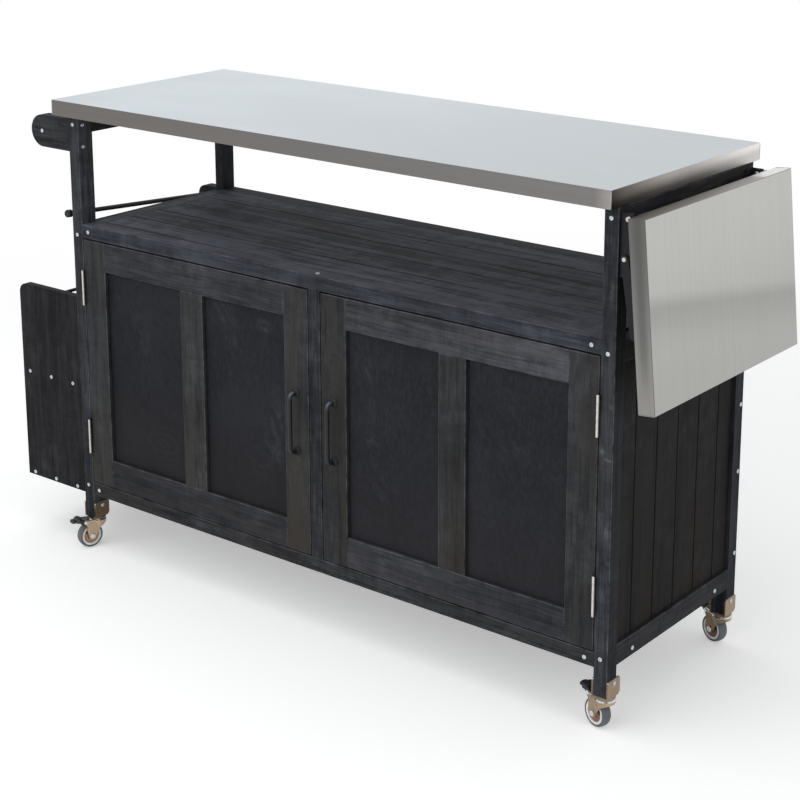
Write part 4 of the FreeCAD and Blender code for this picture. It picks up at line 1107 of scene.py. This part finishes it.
def pan_head():
    """A pan-head screw, its seat at the origin, facing +Z, with a cross recess."""
    size = sizes()
    radius, height = size.screw_radius, size.screw_height
    crown = [(0.0, 0.0), (radius, 0.0), (radius, height * 0.35), (radius * 0.93, height * 0.68)]
    crown += [(radius * 0.74, height * 0.90), (radius * 0.4, height * 0.98), (0.0, height)]
    head = lathed("head", crown, (0, 0, 0), (0, 0, 1), 24)
    for along in (Vector((0.52, 0.11, 0)), Vector((0.11, 0.52, 0))):
        reach = along * radius
        top = Vector((0, 0, height * 1.2))
        bottom = Vector((0, 0, height * 0.45))
        cutter = block("cross", bottom - reach, top + reach)
        modified(head, "BOOLEAN", operation="DIFFERENCE", object=cutter, solver="EXACT")
        removed(cutter)
    return head


class CART_OT_screws(bpy.types.Operator):
    """Model a pan-head screw and set one wherever a screw holds the timber"""

    bl_idname = "cart.screws"
    bl_label = "Screws"

    def execute(self, context):
        head = pan_head()
        copies = []
        for number, corners in enumerate(solids_of("screws")):
            low, high = ends(corners)
            extent = high - low
            axis = min(range(3), key=lambda item: extent[item])
            centre = (low + high) / 2

            def spread_at(level):
                ring = [corner for corner in corners if abs(corner[axis] - level) < 0.2 * MM]
                return max((corner - centre).length for corner in ring)

            outwards = Vector((0, 0, 0))
            seated_low = spread_at(low[axis]) > spread_at(high[axis])
            outwards[axis] = 1.0 if seated_low else -1.0
            seat = centre.copy()
            seat[axis] = low[axis] if seated_low else high[axis]
            screw = copied(head, "screw")
            turn = Matrix.Rotation(math.radians(SCREW_TURN * number), 4, "Z")
            screw.matrix_world = Matrix.Translation(seat) @ turned_to(outwards).to_matrix().to_4x4() @ turn
            copies.append(settle(screw))
        removed(head)
        screws = joined(copies, "pan_head_screws")
        dressed(screws, "cart_frame", "zinc", "screw_zinc", "screws")
        return {"FINISHED"}


# how far a rivet head stays inside its solid, stands past its shank, and how high it is
RIVET_CLEARANCE, RIVET_SHOULDER, RIVET_HEAD = 0.9 * MM, 1.2 * MM, 3.0 * MM


class CART_OT_bracket_rivets(bpy.types.Operator):
    """Model the domed rivets of the folding leaf brackets"""

    bl_idname = "cart.bracket_rivets"
    bl_label = "Bracket Rivets"

    def execute(self, context):
        pieces = []
        for corners in solids_of("bracket_pins"):
            low, high = ends(corners)
            centre = (low + high) / 2
            radius = (high.x - low.x) / 2 - RIVET_CLEARANCE
            shank = radius - RIVET_SHOULDER
            half = (high.y - low.y) / 2
            crown = [(0.0, -half), (radius * 0.45, -half + 0.2 * MM), (radius * 0.8, -half + 0.9 * MM)]
            crown += [
                (radius, -half + RIVET_HEAD * 0.75), (radius, -half + RIVET_HEAD), (shank, -half + RIVET_HEAD)]
            profile = crown + [(reach, -height) for reach, height in reversed(crown)]
            pieces.append(lathed("rivet", profile, centre, (0, 1, 0), 32))
        rivets = joined(pieces, "bracket_rivets")
        dressed(rivets, "cart_frame", "zinc", "rivet_zinc", "bracket_pins")
        return {"FINISHED"}


# caster pieces, modelled with the swivel axis at the origin and the wheel trailing to -X

AXLE = Vector((-18.0, 0.0, 25.0)) * MM
PEDAL_PIN = Vector((-31.0, 0.0, 56.0)) * MM
CHEEK_IN = 10.0 * MM
CHEEK_OUT = 12.0 * MM


def arc(centre, radius, start, end, steps):
    """Points on an arc in the XZ plane, angles in degrees from +X."""
    points = []
    for step in range(steps + 1):
        angle = math.radians(start + (end - start) * step / steps)
        points.append(Vector((centre[0] + radius * math.cos(angle), 0, centre[1] + radius * math.sin(angle))) * MM)
    return points


# half profiles of the wheel, as (radius, width) in millimetres
TYRE = (
    (20.4, -7.4), (20.9, -8.5), (21.9, -9.0), (22.9, -8.7), (23.7, -7.8), (24.3, -6.5), (24.7, -4.9),
    (24.9, -3.2), (25.0, -1.5), (25.0, -0.2))
RIM = ((15.9, -5.2), (16.0, -7.6), (16.6, -8.3), (19.5, -8.5), (20.3, -7.9))
CAP = (
    (4.1, -9.3), (7.2, -9.3), (8.0, -8.4), (8.6, -6.6), (9.6, -6.0), (14.4, -5.8), (15.8, -6.4), (15.8, -5.0))


def wheel_part(name, half, steps):
    """A part turned about the axle from half of its profile and the mirror image."""
    full = [*half, *((radius, -width) for radius, width in reversed(half))]
    return lathed(name, in_metres(full), AXLE, (0, 1, 0), steps)


def cheek_outline():
    """Stamped cheek: a lug at the pedal rivet, a round end at the axle, a front that sweeps out to the crown."""
    lug = arc((-31.0, 56.0), 4.5, 75.0, 225.0, 7)
    hollow = arc((-39.5, 42.0), 11.6, 38.0, -22.0, 5)
    foot = arc((-18.0, 25.0), 7.6, 195.0, 335.0, 8)
    sweep = arc((44.2, -1.4), 60.0, 157.2, 121.9, 7)
    crown = arc((10.5, 53.0), 2.0, -60.0, 90.0, 4)
    return lug + hollow + foot + sweep + crown


def caster_bolts():
    """Axle bolts and pedal rivets with their pins."""
    pieces = []
    bolt = [(0.0, 0.0), (4.9, 0.0), (4.9, 1.4), (4.5, 2.0), (3.4, 2.4), (2.2, 2.5), (2.0, 1.7), (0.0, 1.7)]
    rivet = [(0.0, 0.0), (3.6, 0.0), (3.4, 0.8), (2.4, 1.4), (0.0, 1.6)]
    for side in (-1, 1):
        for profile, centre in ((bolt, AXLE), (rivet, PEDAL_PIN)):
            seat = centre + Vector((0, side * CHEEK_OUT, 0))
            pieces.append(lathed("bolt", in_metres(profile), seat, (0, side, 0), 30))
    for centre, radius in ((AXLE, 4.0 * MM), (PEDAL_PIN, 2.5 * MM)):
        pieces.append(drum("pin", radius, 2 * CHEEK_OUT, centre, (0, 1, 0), 28))
    return joined(pieces, "bolts")


def caster_hood():
    """Curved front of the fork, drawn down from the crown to the cheeks and cut on a slant."""
    shell = [(16.9, 53.0), (16.3, 49.5), (14.7, 44.5), (13.2, 38.0)]
    shell += [(12.0, 38.0), (13.4, 44.5), (15.0, 49.5), (15.6, 53.0)]
    hood = lathed("hood", in_metres(shell), (0, 0, 0), (0, 0, 1), 72)
    cuts = (((-11.5, 0, 53.0), (1, 0, 0)), ((-11.0, 0, 50.0), (12.0, 0, 7.0)), ((17.0, 0, 49.6), (-11.0, 0, 22.0)))
    for point, normal in cuts:
        edit(hood, "FACE", lambda face: True)
        bpy.ops.mesh.bisect(
            plane_co=Vector(point) * MM, plane_no=Vector(normal).normalized(), use_fill=True, clear_inner=True)
        deselect()
    return softened(hood, 0.4 * MM, 2)


def caster_fork():
    """Two stamped cheeks and a curved hood under a dished crown."""
    pieces = [caster_hood()]
    for side in (-1, 1):
        plate = drawn("cheek", [point + Vector((0, side * CHEEK_IN, 0)) for point in cheek_outline()])
        thickened(plate, (0, side * (CHEEK_OUT - CHEEK_IN), 0))
        pieces.append(softened(plate, 0.5 * MM, 2))
    bridge_low = Vector((-26.0 * MM, -CHEEK_OUT, 51.6 * MM))
    bridge = block("bridge", bridge_low, (10.5 * MM, CHEEK_OUT, 55.4 * MM))
    pieces.append(softened(bridge, 1.5 * MM, 4))
    crown = [(4.1, 51.6), (15.2, 51.6), (16.9, 52.2), (17.4, 53.6), (17.2, 55.2), (16.0, 56.2), (15.3, 57.0)]
    crown += [(15.1, 58.2), (14.4, 58.7), (4.1, 58.7)]
    pieces.append(lathed("crown", in_metres(crown), (0, 0, 0), (0, 0, 1), 64))
    return joined(pieces, "fork")


def pad(name, outline, half_width, rounding):
    """A moulded pad: an outline in the XZ plane drawn out to both sides and rounded."""
    plate = drawn(name, [point + Vector((0, -half_width, 0)) for point in outline])
    thickened(plate, (0, 2 * half_width, 0))
    return softened(plate, rounding, 4, 35.0)


def lobe(name, centre, reach):
    """A rounded lump with the given half sizes."""
    deselect()
    bpy.ops.mesh.primitive_uv_sphere_add(segments=40, ring_count=24, radius=1.0, location=Vector(centre) * MM)
    piece = bpy.context.object
    piece.name = name
    piece.scale = Vector(reach) * MM
    return settle(piece)


def caster_pedal():
    """Nylon pedal: a hub on the rivet, a fat rounded tread over it and a smaller tip."""
    hub = arc((-31.0, 56.0), 4.6, 60.0, -75.0, 6)
    hub += [Vector((x, 0, z)) * MM for x, z in ((-33.6, 48.6), (-36.6, 49.8), (-40.0, 53.0), (-44.0, 56.5))]
    hub += arc((-44.0, 60.4), 4.6, 190.0, 60.0, 8)
    hub += [Vector((-35.0, 0, 61.6)) * MM]
    pieces = [pad("hub", hub, 9.2 * MM, 1.2 * MM)]
    pieces.append(lobe("tread", (-43.0, 0, 60.8), (8.2, 12.8, 7.0)))
    pieces.append(lobe("tip", (-53.2, 0, 60.4), (5.6, 9.4, 4.2)))
    for x, z, reach in ((-39.4, 66.7, 8.6), (-43.0, 67.5, 9.4), (-46.6, 66.7, 8.6)):
        pieces.append(lobe("rib", (x, 0, z - 0.5), (0.9, reach, 1.0)))
    return joined(pieces, "pedal")


class CART_OT_casters(bpy.types.Operator):
    """Model one braked caster and copy its pieces to the four legs"""

    bl_idname = "cart.casters"
    bl_label = "Casters"

    def execute(self, context):
        masters = (
            (wheel_part("tyre", TYRE, 80), "_tyre", "_wheel", "tyre", "rubber", "_tyre"),
            (wheel_part("rim", RIM, 72), "_rim", "_wheel", "wheel_centre", "pale_rim", "_hub"),
            (wheel_part("cap", CAP, 64), "_wheel_disc", "_wheel", "wheel_centre", "wheel_disc", "_hub"),
            (caster_fork(), "_stamped_fork", "_swivel", "zinc", "caster_plate", "_fork"),
            (caster_bolts(), "_bolts", "_swivel", "zinc", "zinc", "_fork"),
            (caster_pedal(), "_brake_pedal", "_brake", "black_plastic", "nylon", "_pedal"),
        )
        for name in CASTER_NAMES:
            foot = Vector(joints[name + "_swivel"]["pos_m"])
            axle = Vector(joints[name + "_roll"]["axis"])
            yaw = math.atan2(-axle.x, axle.y)
            place = Matrix.Translation((foot.x, foot.y, 0)) @ Matrix.Rotation(yaw, 4, "Z")
            for master, ending, body, slot, finish, replaced in masters:
                piece = copied(master, name + ending + "_piece")
                piece.matrix_world = place
                settle(piece)
                dressed(piece, name + body, slot, finish, name + replaced)
        for master, *_ in masters:
            removed(master)
        return {"FINISHED"}


# stage: floor, lamps, background and camera

# name, place, size and power of each soft lamp
LAMPS = (
    ("top_softbox", (-0.6, -0.6, 3.2), (3.6, 2.4), 28.0),
    ("front_softbox", (-0.8, -3.5, 1.9), (4.6, 3.4), 55.0),
    ("side_softbox", (3.4, -0.6, 1.6), (2.0, 2.0), 14.0),
)
FLOOR_RADIUS = 30.0
FLOOR_LIFT = 0.365
FLOOR_FADE = (1.3, 3.0)
SKY, SKY_POWER = (0.97, 0.985, 1.0), 0.50
WHITE = (1.0, 1.0, 1.0)
CAMERA_PLACE = (2.0640, -2.4809, 1.5033)
HEADING, DIP, ROLL = math.radians(37.588), math.radians(13.897), math.radians(0.166)
SENSOR = 36.0
# focal length and picture width in pixels
FOCUS, PICTURE = 1843.1, 800.0
SHIFT = (-0.05, -0.22)
FARTHEST = 80.0


def lamp(name, position, size, power, target):
    deselect()
    turn = (Vector(target) - Vector(position)).to_track_quat("-Z", "Y").to_euler()
    bpy.ops.object.light_add(type="AREA", location=position, rotation=turn)
    light = bpy.context.object
    light.name = name
    light.data.shape = "RECTANGLE"
    light.data.size, light.data.size_y = size
    light.data.energy = power
    light.visible_glossy = False


class CART_OT_stage(bpy.types.Operator):
    """Set the pale floor, the soft lamps, the white background and the camera"""

    bl_idname = "cart.stage"
    bl_label = "Studio Stage"

    def execute(self, context):
        self.floor()
        self.background()
        for settings in LAMPS:
            lamp(*settings, (cad_low + cad_high) / 2)
        self.camera()
        return {"FINISHED"}

    def floor(self):
        deselect()
        bpy.ops.mesh.primitive_circle_add(vertices=96, radius=FLOOR_RADIUS, fill_type="NGON")
        plane = bpy.context.object
        plane.name = "studio_floor"
        finish = Finish()
        finish.material.name = "studio_floor"
        distance = (finish.place.x ** 2.0 + finish.place.y ** 2.0) ** 0.5
        direct = finish.direct()
        diffuse = finish.node("ShaderNodeBsdfDiffuse", {}, {0: opaque(colours().floor)})
        lifted = finish.node("ShaderNodeEmission", {}, {0: opaque(WHITE), 1: direct * FLOOR_LIFT})
        white = finish.node("ShaderNodeEmission", {}, {0: opaque(WHITE), 1: 1.0})
        near = finish.node("ShaderNodeAddShader", {}, {0: diffuse.outputs[0], 1: lifted.outputs[0]})
        share = distance.between(*FLOOR_FADE) * direct
        mixed = finish.node("ShaderNodeMixShader", {}, {0: share, 1: near.outputs[0], 2: white.outputs[0]})
        finish.node("ShaderNodeOutputMaterial", {}, {0: mixed.outputs[0]})
        plane.data.materials.append(finish.material)

    def background(self):
        scene = bpy.context.scene
        scene.world = scene.world or bpy.data.worlds.new("studio")
        scene.world.use_nodes = True
        sky = Finish(scene.world.node_tree)
        light = sky.node("ShaderNodeBackground", {}, {0: opaque(SKY), 1: SKY_POWER})
        white = sky.node("ShaderNodeBackground", {}, {0: opaque(WHITE), 1: 1.0})
        mixed = sky.node("ShaderNodeMixShader", {}, {0: sky.direct(), 1: light.outputs[0], 2: white.outputs[0]})
        sky.node("ShaderNodeOutputWorld", {}, {0: mixed.outputs[0]})

    def camera(self):
        level = math.cos(DIP)
        forward = Vector((-math.sin(HEADING) * level, math.cos(HEADING) * level, -math.sin(DIP)))
        turn = forward.to_track_quat("-Z", "Y").to_matrix().to_4x4() @ Matrix.Rotation(ROLL, 4, "Z")
        deselect()
        bpy.ops.object.camera_add()
        camera = bpy.context.object
        camera.name = "studio_camera"
        camera.matrix_world = Matrix.Translation(CAMERA_PLACE) @ turn
        camera.data.sensor_width = SENSOR
        camera.data.lens = FOCUS / PICTURE * SENSOR
        camera.data.shift_x, camera.data.shift_y = SHIFT
        camera.data.clip_end = FARTHEST
        scene = bpy.context.scene
        scene.camera = camera
        scene.view_settings.view_transform = "Standard"


class CART_PT_panel(bpy.types.Panel):
    """Sizes, colours and steps of the grill cart"""

    bl_idname = "CART_PT_panel"
    bl_label = "Grill Cart"
    bl_space_type = "VIEW_3D"
    bl_region_type = "UI"
    bl_category = "Grill Cart"

    def draw(self, context):
        for group in (sizes(), colours()):
            box = self.layout.box()
            for key in group.__annotations__:
                box.prop(group, key)
        for step in STEPS:
            self.layout.operator(step.bl_idname)


STEPS = (
    CART_OT_timber_finish, CART_OT_steel_trays, CART_OT_door_frames, CART_OT_door_pulls, CART_OT_screws,
    CART_OT_bracket_rivets, CART_OT_casters, CART_OT_stage,
)
CLASSES = (CartSizes, CartColours, *STEPS, CART_PT_panel)


def register():
    for item in CLASSES:
        bpy.utils.register_class(item)
    bpy.types.Scene.cart_sizes = PointerProperty(type=CartSizes)
    bpy.types.Scene.cart_colours = PointerProperty(type=CartColours)


def unregister():
    del bpy.types.Scene.cart_colours
    del bpy.types.Scene.cart_sizes
    for item in reversed(CLASSES):
        bpy.utils.unregister_class(item)


def main():
    register()
    for step in STEPS:
        group, name = step.bl_idname.split(".")
        getattr(getattr(bpy.ops, group), name)()


if __name__ == "__main__":
    main()
